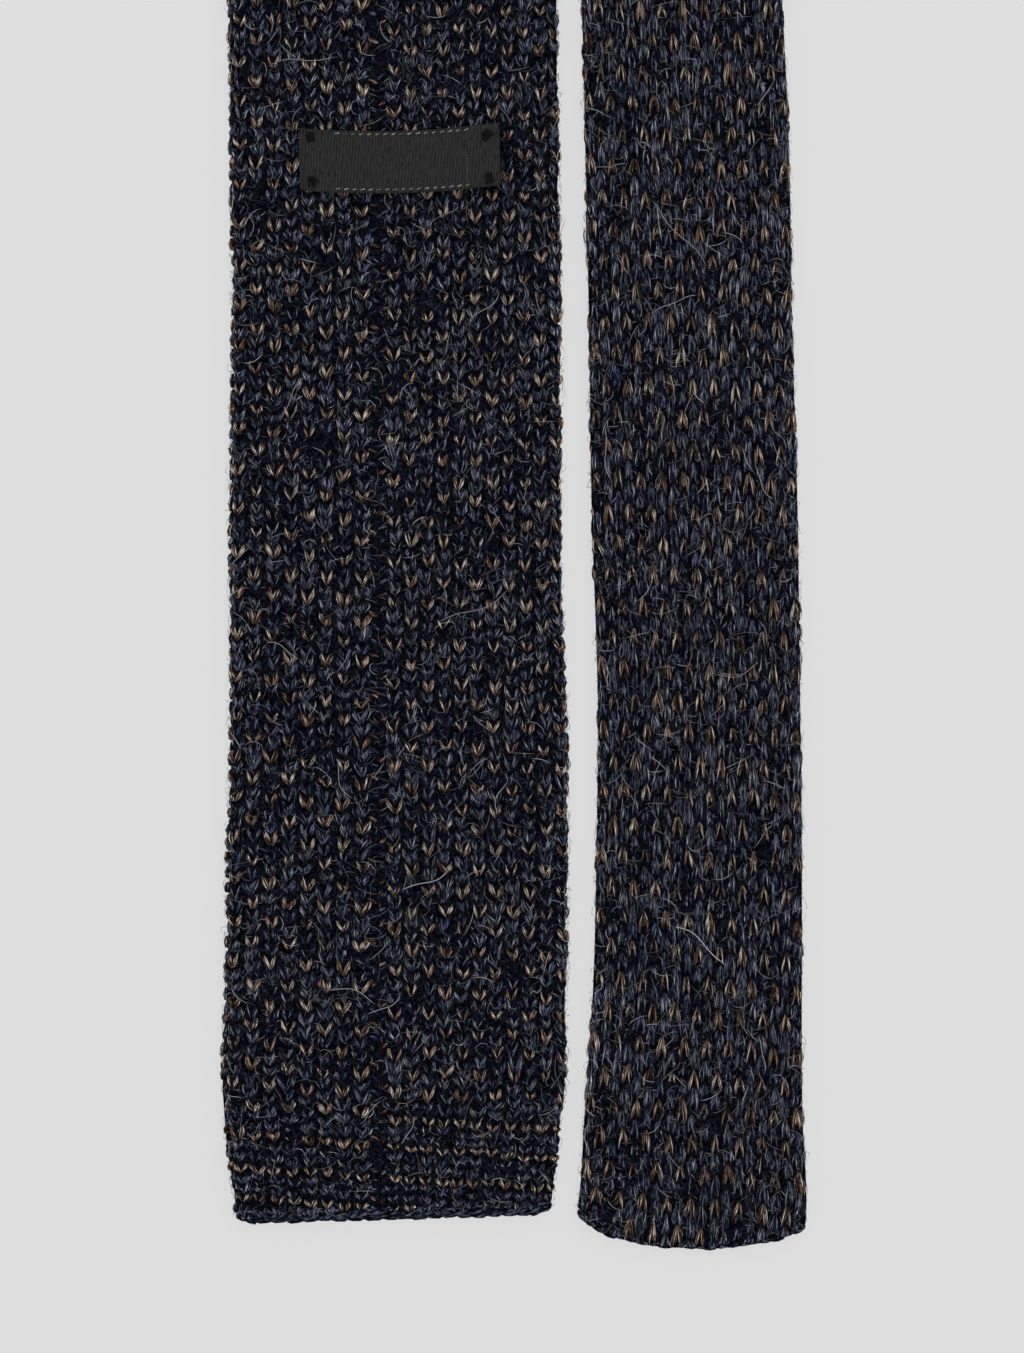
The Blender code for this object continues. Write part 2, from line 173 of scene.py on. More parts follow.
def narrowRim(u, y):
    # how high the narrow tip's rounded rim stands at a place across it
    half = narrowHalf(y)
    low = tieSize["narrowTipLow"]
    leftShare = np.clip((low - u) / (half + low), 0, 1)
    rightShare = np.clip((u - low) / (half - low), 0, 1)
    left = tieSize["narrowLeftRise"] * (1 - np.sqrt(1 - leftShare ** 2))
    right = tieSize["narrowRightRise"] * (1 - np.sqrt(1 - rightShare ** 2))
    return np.where(u < low, left, right) - tieSize["narrowTipDrop"]


def edgesAt(along):
    # distances from the leg's centre line to its left and right edges
    onWide = along < foldCentreY
    y = np.where(onWide, along, narrowYAt(along))
    radius = tieSize["wideCorner"]
    depth = np.clip(radius - along, 0, radius)
    inset = np.where(onWide, radius - np.sqrt(radius ** 2 - depth ** 2), 0.0)
    narrow = narrowHalf(np.where(along < foldEnd, foldCentreY, y))
    return tuple(np.where(onWide, wideEdge(y, side) - inset, narrow) for side in ("left", "right"))


def roundTube(along, wale, depth):
    # (u, n) of a place: u to the right, n towards the tie's back, at a depth below the surface
    left, right = edgesAt(along)
    r = halfThick
    arc = math.pi * r * wales["edgeStretch"]
    backRight = right - r - seam
    front = left + right - 2 * r
    backLeft = left - r + seam
    share = np.interp(np.mod(wale, wales["round"]), wales["knots"], wales["shares"])
    at = share * (backRight + front + backLeft + 2 * arc)
    inner = r - depth
    turnRight = np.clip((at - backRight) / arc, 0, 1) * math.pi
    turnLeft = np.clip((at - backRight - arc - front) / arc, 0, 1) * math.pi
    # the right of the back, the right edge, the front, the left edge; what is left is the back's left
    ends = (backRight, backRight + arc, backRight + arc + front, backRight + front + 2 * arc)
    places = [at < end for end in ends]
    u = np.select(places, [
        seam + at,
        right - r + inner * np.sin(turnRight),
        right - r - (at - backRight - arc),
        -(left - r) - inner * np.sin(turnLeft),
    ], -(left - r) + (at - backRight - front - 2 * arc))
    n = np.select(places, [inner, inner * np.cos(turnRight), -inner, -inner * np.cos(turnLeft)], inner)
    return u, n


def waleWidth(along):
    left, right = edgesAt(along)
    flat = 2 * (left + right - 2 * halfThick)
    return (flat + 2 * math.pi * halfThick * wales["edgeStretch"]) / wales["round"]


def tubePoint(along, u, n):
    # a point of the laid tie: the wide leg, the fold, then the narrow leg with its front up
    slant = tieSize["tipSlant"] * np.clip(1 - along / tieSize["tipSlantRun"], 0, 1)
    lip = np.interp(along / tieSize["tipLip"], tieSize["lipShares"], tieSize["lipThickness"])
    groove = np.clip(n / halfThick, 0, 1) * np.clip(1 - np.abs(u - seam) / tieSize["seamGrooveHalf"], 0, 1)
    wideZ = halfThick + n * lip - tieSize["seamGroove"] * groove
    wide = (u, along + slant * u / tieSize["wideWidth"], wideZ)

    turn = np.clip((along - foldCentreY) / foldRadius, 0, math.pi)
    reach = foldRadius - n
    fold = (u, foldCentreY + reach * np.sin(turn), halfThick + foldRadius - reach * np.cos(turn))

    y = narrowYAt(np.maximum(along, foldEnd))
    lean = narrowLean(y)
    size = np.sqrt(1 + lean ** 2)
    x = narrowCentre(y) + u / size
    placeY = y + u * lean / size
    half = narrowHalf(y)
    leftGap = narrowCentre(y) - half / size - wideEdge(y - half * lean / size, "right")
    held = 1 - ease((leftGap - tieSize["lieGap"]) / (tieSize["dropGap"] - tieSize["lieGap"]))
    lift = lyingZ * held * (1 - ease((x - wideEdge(placeY, "right")) / tieSize["drapeRun"]))
    stands = (foldTopZ - halfThick - lyingZ) * (1 - ease((foldCentreY - y) / tieSize["foldSettle"]))
    rim = narrowRim(u, y)
    placeY = np.maximum(placeY, rim)
    fromRim = (placeY - rim) / tieSize["narrowTipRun"]
    thick = np.interp(fromRim, tieSize["narrowTipShares"], tieSize["narrowTipThickness"])
    narrow = (x, placeY, halfThick - n * thick + lift + stands)

    parts = [along < foldCentreY, along < foldEnd]
    return np.stack([np.select(parts, [w, f], m) for w, f, m in zip(wide, fold, narrow)], axis=-1)


def knitPoint(along, wale, depth):
    u, n = roundTube(along, wale, depth)
    return tubePoint(along, u, n)


# The label's and its tacks' sizes, the same as the solids'
labelSize = {
    "length": 0.0403, "height": 0.0128, "cloth": 0.00045, "turnUnder": 0.0070, "seatGap": 0.0003,
    "along": 0.2185, "aside": 0.0013, "turn": math.radians(1.7), "sag": 0.0011,
}
tackRows = [
    {"corner": "top_left", "sideX": -1, "sideY": 1, "fromEnd": 0.20, "fromEdge": 0.26, "lean": 8},
    {"corner": "low_left", "sideX": -1, "sideY": -1, "fromEnd": 0.21, "fromEdge": 0.30, "lean": 24},
    {"corner": "top_right", "sideX": 1, "sideY": 1, "fromEnd": 0.37, "fromEdge": 0.34, "lean": 38},
    {"corner": "low_right", "sideX": 1, "sideY": -1, "fromEnd": 0.32, "fromEdge": 0.26, "lean": 12},
]


def labelSag(x):
    return labelSize["sag"] * ((2 * x / labelSize["length"]) ** 2 - 1)


def tackPlace(row):
    # a tack's middle in the label's own flat frame
    x = row["sideX"] * (labelSize["length"] / 2 - row["fromEnd"] * labelSize["turnUnder"])
    y = row["sideY"] * (1 - row["fromEdge"]) * labelSize["height"] / 2
    return x, y + labelSag(x)


def labelPoint(x, y, z):
    # from the label's own flat frame, z up from its seat, to the tie's
    c, s = math.cos(labelSize["turn"]), math.sin(labelSize["turn"])
    placeX = labelSize["aside"] + c * x - s * y
    placeY = labelSize["along"] + s * x + c * y
    return np.stack([placeX, placeY, thickness + labelSize["seatGap"] + z], axis=-1)


# The move from the tie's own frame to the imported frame, read off one tack
tackLow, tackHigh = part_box("label_tack_" + tackRows[0]["corner"])
tackOwn = labelPoint(*(np.float64(part) for part in (*tackPlace(tackRows[0]), 0)))
tackX = (tackLow.x + tackHigh.x) / 2
tackY = (tackLow.y + tackHigh.y) / 2
toFrame = np.array([tackX - tackOwn[0], tackY - tackOwn[1], 0.0])
print("own frame moved by", [round(float(v), 5) for v in toFrame])

triangleTotal = 0


def addObject(name, data):
    made = bpy.data.objects.new(name, data)
    bpy.context.scene.collection.objects.link(made)
    return made


def makePiece(name, points, faces, material, slot, **attributes):
    # a mesh piece from arrays, in the frame's place, riding on the tie's one body
    global triangleTotal
    mesh = bpy.data.meshes.new(name)
    mesh.vertices.add(len(points))
    mesh.vertices.foreach_set("co", (points + toFrame).astype(np.float32).ravel())
    mesh.loops.add(faces.size)
    mesh.loops.foreach_set("vertex_index", faces.astype(np.int32).ravel())
    mesh.polygons.add(len(faces))
    mesh.polygons.foreach_set("loop_start", np.arange(0, faces.size, faces.shape[1], dtype=np.int32))
    mesh.update(calc_edges=True)
    mesh.validate()
    for key, values in attributes.items():
        layer = mesh.attributes.new(key, "FLOAT_VECTOR", "POINT")
        layer.data.foreach_set("vector", values.astype(np.float32).ravel())
    mesh.shade_smooth()
    mesh.materials.append(material)
    piece = addObject(name, mesh)
    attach(piece, "root")
    triangles = len(faces) * (faces.shape[1] - 2)
    triangleTotal += triangles
    print(name, triangles, "triangles")
    return piece


def ringFaces(rings, sides):
    # quads round a tube of points that are counted ring by ring
    r, c = np.meshgrid(np.arange(rings - 1) * sides, np.arange(sides), indexing="ij")
    c2 = (c + 1) % sides
    return np.stack([r + c, r + c2, r + sides + c2, r + sides + c], axis=-1).reshape(-1, 4)


def endCap(first, sides, flip):
    # quads that close a tube at the ring that starts at this point, strip by strip
    j = np.arange(sides // 2 - 1)
    quads = first + np.stack([j, j + 1, sides - 2 - j, sides - 1 - j], axis=-1)
    return quads[:, ::-1 if flip else 1]


# Where the brown stitches fall, and how far apart the courses are
pattern = {
    "wideRepeat": 0.00844, "narrowRepeat": 0.01297,   # two chequer rows along a wale
    "wideAnchor": 0.12704,                            # a row of even wales on the wide back
    "narrowAnchorY": 0.0671, "narrowAnchorU": -0.0018,  # a row of even wales on the narrow front
    "matchStart": 0.620, "matchEase": 0.080, "matchEnd": 1.150,  # hidden run that takes up the odd part
    "gridSteps": 6000, "gridOver": 0.02,
    "skewRight": -0.026, "skewLeft": -0.066, "skewNarrow": 0.052,
    "hemRows": (0.0022, 0.0080, 0.0146), "hemRowRight": 0.0205, "hemSkew": -0.0787,
    "firstEven": -12, "firstOddRight": -11.5, "firstOddLeft": -12.5,
    "unit": 0.00281, "hemUnit": 0.00203, "joinUnit": 0.00240,
    "rimClear": 0.0017, "endClear": 0.0012, "wideLook": 0.02, "narrowLook": 0.01,
}

alongGrid = np.linspace(-pattern["gridOver"], tieEnd + pattern["gridOver"], pattern["gridSteps"])
repeatGrid = pattern["wideRepeat"] + (pattern["narrowRepeat"] - pattern["wideRepeat"]) * taperShare(alongGrid)


def pastStart(key):
    return ease((alongGrid - pattern[key]) / pattern["matchEase"])


def sumAlong(values):
    return runningTotal(np.diff(alongGrid) * (values[1:] + values[:-1]) / 2)


phaseGrid = sumAlong(1 / repeatGrid)
phaseGrid -= np.interp(pattern["wideAnchor"], alongGrid, phaseGrid)
narrowAnchor = narrowAlongAt(pattern["narrowAnchorY"]) - pattern["skewNarrow"] * pattern["narrowAnchorU"]
anchorPhase = float(np.interp(narrowAnchor, alongGrid, phaseGrid))
matchSum = sumAlong(pastStart("matchStart") * (1 - pastStart("matchEnd")) / repeatGrid)
phaseGrid += (round(anchorPhase) - anchorPhase) * matchSum / matchSum[-1]
print("chequer rows along the tie:", round(float(phaseGrid[-1] - phaseGrid[0]), 1))


def waleCentre(k):
    return wales["seamHalf"] + 0.5 + k


def rowSkew(along, u):
    wide = np.where(u > seam, pattern["skewRight"], pattern["skewLeft"]) * (u - seam)
    narrow = pattern["skewNarrow"] * u
    share = ease((along - tieSize["taperStart"]) / (foldEnd - tieSize["taperStart"]))
    return wide * (1 - share) + narrow * share


def acrossAt(along, wale):
    return float(roundTube(np.array([along]), np.array([wale]), 0.0)[0][0])


def brownPlaces(k):
    # where one wale's brown stitches are, how many of them are the hem's, and where the wale ends
    wale = waleCentre(k)
    tipU = acrossAt(pattern["wideLook"], wale)
    isRight = tipU > seam
    hem = list(pattern["hemRows"]) + ([pattern["hemRowRight"]] if isRight else [])
    hem = [a + pattern["hemSkew"] * tipU for a in hem]
    hem = [a for a in hem if a > pattern["rimClear"]]
    isEven = (k % 2 == 0) == (k < wales["flip"])
    first = pattern["firstEven" if isEven else "firstOddRight" if isRight else "firstOddLeft"]
    rows = np.interp(np.arange(first, math.floor(phaseGrid[-1]), 1.0), phaseGrid, alongGrid)
    rows = rows + rowSkew(rows, roundTube(rows, np.full(len(rows), wale), 0.0)[0])
    endU = acrossAt(tieEnd - pattern["narrowLook"], wale)
    rimY = float(narrowRim(np.float64(endU), np.float64(0.0)) - endU * narrowLean(np.float64(0.0)))
    last = narrowAlongAt(rimY) - pattern["endClear"]
    return [a for a in hem + list(rows) if a < last], len(hem), last


def waleStitches(k):
    # one wale's stitches from the wide tip to the narrow one: places, which are brown, wale, pitch and end
    brown, hemCount, last = brownPlaces(k)
    count = int((brown[0] - pattern["rimClear"] + pattern["hemUnit"] / 2) / pattern["hemUnit"])
    places = [brown[0] - j * pattern["hemUnit"] for j in range(count, 0, -1)]
    isBrown = [False] * count
    for i, at in enumerate(brown):
        unit = pattern["unit"] * float(np.interp(at, alongGrid, repeatGrid)) / pattern["wideRepeat"]
        if i + 1 == len(brown):
            between = int((last - at) / unit + 0.6)
            step = unit
        else:
            if i < hemCount:
                unit = pattern["hemUnit" if i + 1 < hemCount else "joinUnit"]
            gap = brown[i + 1] - at
            between = max(1, round(gap / unit) - 1)
            step = gap / (between + 1)
        places += [at + step * j for j in range(between + 1)]
        isBrown += [True] + [False] * between
    every = np.ones(len(places))
    return places, isBrown, waleCentre(k) * every, np.gradient(places), (last + pattern["endClear"]) * every


byColumn = zip(*(waleStitches(k) for k in range(wales["count"])))
stitchAt, stitchBrown, stitchWale, stitchPitch, stitchLast = map(np.concatenate, byColumn)
print("stitches:", len(stitchAt), "brown:", int(stitchBrown.sum()))

# Which of the knit shows from above, in wales and along the tie
shown = {
    "back": (12.4, 30.0), "front": (9.6, 32.8), "foldMargin": 0.004,
    "coveredBack": (9.5, 31.0), "coveredFrom": 0.57, "coveredMargin": 0.006,
}


def faceUp(along, wale):
    # whether a place is on the side that shows from above, edges and fold included
    onBack = (wale < shown["back"][0]) | (wale > shown["back"][1])
    onFront = (wale > shown["front"][0]) & (wale < shown["front"][1])
    wideLeg = along < foldCentreY - shown["foldMargin"]
    return np.where(wideLeg, onBack, np.where(along < foldEnd + shown["foldMargin"], True, onFront))


def underNeck(along, wale):
    # the wide leg's back where the narrow leg lies over it
    onBack = (wale < shown["coveredBack"][0]) | (wale > shown["coveredBack"][1])
    return (along > shown["coveredFrom"]) & (along < foldCentreY - shown["coveredMargin"]) & onBack


# Yarn's cross sections, as (aside, height)
halfRound = ((-1.0, 0.0), (-0.52, 0.92), (0.52, 0.92), (1.0, 0.0))
threeSided = ((-1.0, 0.0), (0.0, 1.0), (1.0, 0.0))
pointDepth = 0.6    # how deep a strand's two points lie in its thickness
hairHeight = 1.6    # a fibre's or hair's height over its half width


def finishStrands(points, length, across, seed, flip):
    # pointed strands as one mesh: points, triangles and (across, along in mm, seed) at each point
    count, sides = len(length), len(across)
    rings = length.shape[1] - 2
    middle = np.full((count, 1), 0.5)
    acrossAll = np.concatenate([middle, np.tile(across, (count, rings)), middle], axis=1)
    runs = np.repeat(length[:, 1:-1], sides, axis=1)
    lengthAll = np.concatenate([length[:, :1], runs, length[:, -1:]], axis=1)
    seedAll = np.broadcast_to(seed[:, None], acrossAll.shape)
    yarn = np.stack([acrossAll, lengthAll / mm, seedAll], axis=-1).reshape(-1, 3)
    last = 1 + rings * sides
    triangles = []
    for j in range(sides):
        k = (j + 1) % sides
        triangles.append((0, 1 + k, 1 + j))
        for low in range(1, last - sides, sides):
            high = low + sides
            triangles += [(low + j, low + k, high + k), (low + j, high + k, high + j)]
        triangles.append((last - sides + j, last - sides + k, last))
    triangles = np.array(triangles)[:, ::-1 if flip else 1]
    faces = (triangles + (last + 1) * np.arange(count)[:, None, None]).reshape(-1, 3)
    return points.reshape(-1, 3), faces, yarn


def makeStrands(along, wale, top, halfWidth, thick, section, seed):
    # lengths of yarn that lie on the knit, from arrays of (strands, stations)
    width = waleWidth(along)
    runAlong = np.gradient(along, axis=1)
    runAcross = np.gradient(wale, axis=1) * width
    size = np.maximum(np.hypot(runAlong, runAcross), 1e-9)
    length = runningTotal(np.hypot(np.diff(along, axis=1), np.diff(wale, axis=1) * width[:, 1:]))
    aside, height = np.array(section).T
    mid = slice(1, -1)
    reach = aside * halfWidth[:, mid, None]
    ringAlong = along[:, mid, None] - reach * (runAcross / size)[:, mid, None]
    ringWale = wale[:, mid, None] + reach * (runAlong / size)[:, mid, None] / width[:, mid, None]
    ringDepth = top[:, mid, None] + thick * (1 - height)
    ends = (along, wale, top + thick[..., 0] * pointDepth)
    places = [
        np.concatenate([end[:, :1], ring.reshape(len(along), -1), end[:, -1:]], axis=1).ravel()
        for end, ring in zip(ends, (ringAlong, ringWale, ringDepth))
    ]
    return finishStrands(knitPoint(*places), length, (aside + 1) / 2, seed, False)


def evenly(thick):
    # one thickness for all strands
    return np.full((1, 1, 1), thick)


def makeHairStrands(along, wale, top, halfWidth, seed):
    # thin three-sided strands, each of one width
    return makeStrands(along, wale, top, halfWidth, hairHeight * halfWidth[:, :1, None], threeSided, seed)


def makeCords(centres, halfWidths, sides, seed):
    # round lengths of yarn or thread along centre lines, from arrays of (cords, stations, 3)
    tangent = np.gradient(centres, axis=1)
    tangent /= np.maximum(np.linalg.norm(tangent, axis=2, keepdims=True), 1e-12)
    guide = np.where(np.abs(tangent[..., 2:3]) > 0.9, (1.0, 0.0, 0.0), (0.0, 0.0, 1.0))
    aside = np.cross(tangent, guide)
    aside /= np.linalg.norm(aside, axis=2, keepdims=True)
    over = np.cross(aside, tangent)
    turn = 2 * math.pi * np.arange(sides)[:, None] / sides
    mid = slice(1, -1)
    outward = np.cos(turn) * aside[:, mid, None] + np.sin(turn) * over[:, mid, None]
    rings = centres[:, mid, None] + halfWidths[:, mid, None, None] * outward
    points = np.concatenate([centres[:, :1], rings.reshape(len(centres), -1, 3), centres[:, -1:]], axis=1)
    length = runningTotal(np.linalg.norm(np.diff(centres, axis=1), axis=2))
    return finishStrands(points, length, np.arange(sides) / sides, seed, True)


def joinParts(parts):
    # several sets of strands as one
    points, faces, yarn = zip(*parts)
    starts = runningTotal(np.array([len(own) for own in points]))
    faces = [own + start for own, start in zip(faces, starts)]
    return np.concatenate(points), np.concatenate(faces), np.concatenate(yarn)


stitchLook = {
    "pitches": (0.0020, 0.0027), "heights": (0.94, 1.08),   # a V's height over the pitch of the courses
    "navyTaller": 1.12, "navyWider": 1.32, "narrowBrown": 0.92,
    "legHalfWidth": 0.00045, "legHalfShare": 0.18,          # the yarn's half width, and its most in wales
    "outReach": 0.455, "navyReach": 0.50,                   # a V's half width in wales
    "narrowReach": 0.085, "waleWidths": (0.0023, 0.0034),   # V's spread wider where the wales are narrow
    "feet": 0.032, "feetSpread": 0.04, "feetWidth": 0.0030,   # how far the feet stand from the V's middle
    "curve": 0.04, "lean": 0.05, "thick": 0.0011,
    "navyDepth": 0.00012,                                   # how much lower the navy stitches lie
    "jitterAlong": 0.00026, "jitterAcross": 0.035, "navyAcross": 0.065, "jitterSize": 0.12,
    "jitterTop": 0.00016, "jitterReach": 0.08, "jitterFeet": 0.8, "jitterTilt": 0.6,
    "wave": 0.00014, "waveAlong": 0.021, "waveAcross": 7.0,   # slow unevenness of the surface
    "tipClear": 0.0006, "rightSeed": 0.37,
}
# Each sort of leg from its foot to its top: half widths, and depths of its top in its thickness
legSorts = {
    "near": {"stations": (0.0, 0.13, 0.46, 0.82, 1.0), "widths": (0.0, 0.72, 1.0, 0.80, 0.0),
             "tops": (0.30, 0.05, 0.0, 0.25, 0.85), "section": halfRound, "highest": -0.00012},
    "upper": {"stations": (0.0, 0.25, 0.78, 1.0), "widths": (0.0, 1.0, 0.9, 0.0),
              "tops": (0.45, 0.05, 0.15, 0.75), "section": threeSided, "highest": 0.0},
    "under": {"stations": (0.0, 0.5, 1.0), "widths": (0.0, 1.1, 0.0),
              "tops": (0.25, 0.0, 0.6), "section": threeSided, "highest": 0.0},
}


def surfaceWave(along, wale):
    a = along / stitchLook["waveAlong"]
    b = wale / stitchLook["waveAcross"]
    return stitchLook["wave"] * (
        np.sin(2 * math.pi * (a + 0.7 * b)) + np.sin(2 * math.pi * (0.61 * a - 1.3 * b) + 2.0))


def legPlaces(chosen, legSide, t):
    # where the middle of a leg runs at shares t from its foot to its top, its half width and its depth
    look = stitchLook
    at, wale, pitch, brown = stitchAt[chosen], stitchWale[chosen], stitchPitch[chosen], stitchBrown[chosen]
    d = {key: values[chosen] for key, values in stitchDraws.items()}
    width = waleWidth(at)
    half = np.minimum(look["legHalfWidth"], look["legHalfShare"] * width)
    half = half * (1 + look["jitterSize"] * d["size"])
    half = half * np.where(brown, np.where(at > foldEnd, look["narrowBrown"], 1.0), look["navyWider"])
    high = pitch * np.interp(pitch, look["pitches"], look["heights"]) * (1 + look["jitterSize"] * d["high"])
    high = high * np.where(brown, 1.0, look["navyTaller"])
    wider = look["narrowReach"] * (1 - np.interp(width, look["waleWidths"], (0, 1)))
    reach = np.where(brown, look["outReach"] + wider, look["navyReach"])
    reach = reach * (1 + look["jitterReach"] * d["reach"]) - half / width
    feet = look["feet"] * (1 + look["jitterFeet"] * d["feet"])
    feet = feet + look["feetSpread"] * np.clip(look["feetWidth"] / width - 1, -0.2, 0.4)
    curve = np.sin(np.pi * np.clip(t, 0, 1)) * look["curve"]
    offset = legSide * (feet[:, None] + (reach - feet)[:, None] * t + curve)
    middleWale = wale + np.where(brown, look["jitterAcross"], look["navyAcross"]) * d["across"]
    tilt = look["jitterTilt"] * d["leftTilt" if legSide < 0 else "rightTilt"]
    middleAlong = at + look["jitterAlong"] * (d["along"] + tilt)
    line = middleAlong[:, None] + high[:, None] * (t - 0.5)
    line = np.maximum(line, look["tipClear"] * (1 + t))
    line = np.minimum(line, stitchLast[chosen][:, None] - look["tipClear"] * (1.4 - t))
    waleLine = middleWale[:, None] + offset + look["lean"] * d["lean"][:, None] * (t - 0.5)
    depth = look["jitterTop"] * d["top"] + surfaceWave(at, wale) + np.where(brown, 0.0, look["navyDepth"])
    return line, waleLine, half[:, None], depth[:, None]


def makeLegs(chosen, legSide, sort):
    row, thick = legSorts[sort], stitchLook["thick"]
    line, waleLine, half, depth = legPlaces(chosen, legSide, np.array([row["stations"]]))
    top = np.maximum(np.array(row["tops"]) * thick + depth, row["highest"])
    seed = stitchDraws["seed"][chosen] + (stitchLook["rightSeed"] if legSide > 0 else 0.0)
    return makeStrands(line, waleLine, top, half * row["widths"], evenly(thick), row["section"], seed)


# Loose fibres that lie along each leg of the stitches in the photo's view
fibreLook = {
    "start": (-0.06, 0.30), "end": (0.62, 1.12), "spreads": (0.45, 0.8, 1.0, 0.85, 0.55),
    "raise": 0.00005, "lift": 0.00016, "narrowPower": 1.85,   # darker fibres on the narrow blade
    "brown": {"count": 8, "halfWidth": (0.00005, 0.00011), "aside": 1.25, "drift": 0.75},
    "navy": {"count": 7, "halfWidth": (0.00005, 0.00010), "aside": 1.70, "drift": 1.55},
}


def makeFibres(chosen, legSide, sort):
    look, own, leg, thick = fibreLook, fibreLook[sort], legSorts["near"], stitchLook["thick"]
    count = len(chosen)
    parts = []
    for _ in range(own["count"]):
        start = rng.uniform(*look["start"], (count, 1))
        end = rng.uniform(*look["end"], (count, 1))
        t = start + (end - start) * np.array([[0.0, 0.5, 1.0]])
        line, waleLine, half, depth = legPlaces(chosen, legSide, t)
        aside = own["aside"] * rng.uniform(-1, 1, (count, 1))
        aside = aside + own["drift"] * rng.normal(0, 1, (count, 1)) * (t - 0.5)
        spreads = np.interp(t, leg["stations"], look["spreads"])
        waleLine = waleLine + aside * half * spreads / waleWidth(line)
        legTop = np.interp(t, leg["stations"], leg["tops"]) * thick
        roundOff = 1 - np.sqrt(np.clip(1 - aside ** 2, 0.12, 1))
        top = legTop * 0.6 + depth + thick * roundOff * 0.8 - look["raise"]
        top = top - look["lift"] * rng.uniform(0, 1, (count, 1)) ** 2
        thin = rng.uniform(*own["halfWidth"], (count, 1)) * np.ones_like(line)
        darker = (stitchAt[chosen] > foldEnd) & stitchBrown[chosen]
        seed = rng.uniform(0, 1, count) ** np.where(darker, look["narrowPower"], 1.0)
        parts.append(makeHairStrands(line, waleLine, top, thin, seed))
    return joinParts(parts)


rng = np.random.default_rng(41)
stitchDraws = {
    key: rng.normal(0, 1, len(stitchAt)).clip(-2.2, 2.2)
    for key in ("along", "across", "size", "high", "reach", "feet", "lean", "top", "leftTilt", "rightTilt")
}
stitchDraws["seed"] = rng.uniform(0, 1, len(stitchAt))


# Materials

def newMaterial(name, roughness, specular):
    material = bpy.data.materials.new(name)
    material.use_nodes = True
    shader = material.node_tree.nodes["Principled BSDF"]
    shader.inputs["Roughness"].default_value = roughness
    shader.inputs["Specular IOR Level"].default_value = specular
    return material, material.node_tree, shader


def addNode(tree, kind, feeds=None, **settings):
    # a node's outputs; feeds gives its inputs a value or another node's output
    node = tree.nodes.new("ShaderNode" + kind)
    for key, value in settings.items():
        setattr(node, key, value)
    for key, value in (feeds or {}).items():
        if isinstance(value, bpy.types.NodeSocket):
            tree.links.new(value, node.inputs[key])
        else:
            node.inputs[key].default_value = value
    return node.outputs


def addRamp(tree, source, stops):
    colour = addNode(tree, "ValToRGB", {0: source})[0]
    elements = colour.node.color_ramp.elements
    while len(elements) < len(stops):
        elements.new(0.5)
    for element, (place, stop) in zip(elements, stops):
        element.position = place
        element.color = (*stop, 1.0)
    return colour


def finishShader(tree, shader, colour, height=None, strength=0.0, distance=0.0):
    # its colour, and a bump where a height is given
    tree.links.new(colour, shader.inputs["Base Color"])
    if height is not None:
        bump = addNode(tree, "Bump", {"Height": height, "Strength": strength, "Distance": distance})
        tree.links.new(bump[0], shader.inputs["Normal"])


def yarnParts(tree):
    # how far across and along its yarn a point is, and the yarn's seed
    yarn = addNode(tree, "Attribute", attribute_name="yarn")["Vector"]
    return addNode(tree, "SeparateXYZ", {0: yarn})


woolLook = {
    "brown": {
        "stops": [(0.42, (0.014, 0.008, 0.007)), (0.50, (0.046, 0.028, 0.022)),
                  (0.58, (0.155, 0.104, 0.080)), (0.66, (0.42, 0.33, 0.27))],
        "tints": [(0.0, (1.0, 0.76, 0.70)), (0.3, (0.95, 0.90, 0.88)), (0.6, (0.88, 0.83, 0.72)),
                  (0.8, (0.50, 0.49, 0.50)), (1.0, (1.0, 0.94, 0.92))],
        "far": (3.6, 3.6, 3.5),
    },
    "navy": {
        "stops": [(0.43, (0.0020, 0.0024, 0.0045)), (0.51, (0.0095, 0.0112, 0.0195)),
                  (0.57, (0.038, 0.045, 0.069)), (0.65, (0.12, 0.133, 0.18))],
        "tints": [(0.0, (0.75, 0.85, 1.0)), (0.4, (1.0, 1.0, 1.0)), (0.75, (1.1, 1.0, 1.0)),
                  (1.0, (0.8, 0.85, 1.25))],
        "far": (4.2, 3.9, 3.3),
    },
    "strandAcross": 2.8, "strandAlong": 0.60, "twist": 0.40, "seedsApart": 97.0, "brightest": 0.9,
    "roughness": 0.95, "specular": 0.02, "bump": 0.8, "bumpDistance": 0.0003,
}


def woolMaterial(name, sort, brighter):
    look, own = woolLook, woolLook[sort]
    material, tree, shader = newMaterial(name, look["roughness"], look["specular"])
    across, along, seed = yarnParts(tree)
    # strands run along the yarn with a slow twist
    twisted = addNode(tree, "Math", {0: along, 1: look["twist"]}, operation="MULTIPLY")[0]
    aside = {0: across, 1: look["strandAcross"], 2: twisted}
    place = addNode(tree, "CombineXYZ", {
        0: addNode(tree, "Math", aside, operation="MULTIPLY_ADD")[0],
        1: addNode(tree, "Math", {0: along, 1: look["strandAlong"]}, operation="MULTIPLY")[0],
        2: addNode(tree, "Math", {0: seed, 1: look["seedsApart"]}, operation="MULTIPLY")[0],
    })[0]
    noise = {"Vector": place, "Scale": 1.0, "Detail": 2.5, "Roughness": 0.6}
    strands = addNode(tree, "TexNoise", noise)["Fac"]
    stops = [(at, tuple(min(f * part, look["brightest"]) for f, part in zip(brighter, colour)))
             for at, colour in own["stops"]]
    colour = addRamp(tree, strands, stops)
    tint = addRamp(tree, seed, own["tints"])
    mixed = addNode(tree, "Mix", {0: 1.0, 6: colour, 7: tint}, data_type="RGBA", blend_type="MULTIPLY")[2]
    finishShader(tree, shader, mixed, strands, look["bump"], look["bumpDistance"])
    return material


def strandMaterial(name, roughness, specular, stops):
    # each strand has one colour, which its seed picks
    material, tree, shader = newMaterial(name, roughness, specular)
    finishShader(tree, shader, addRamp(tree, yarnParts(tree)[2], stops))
    return material


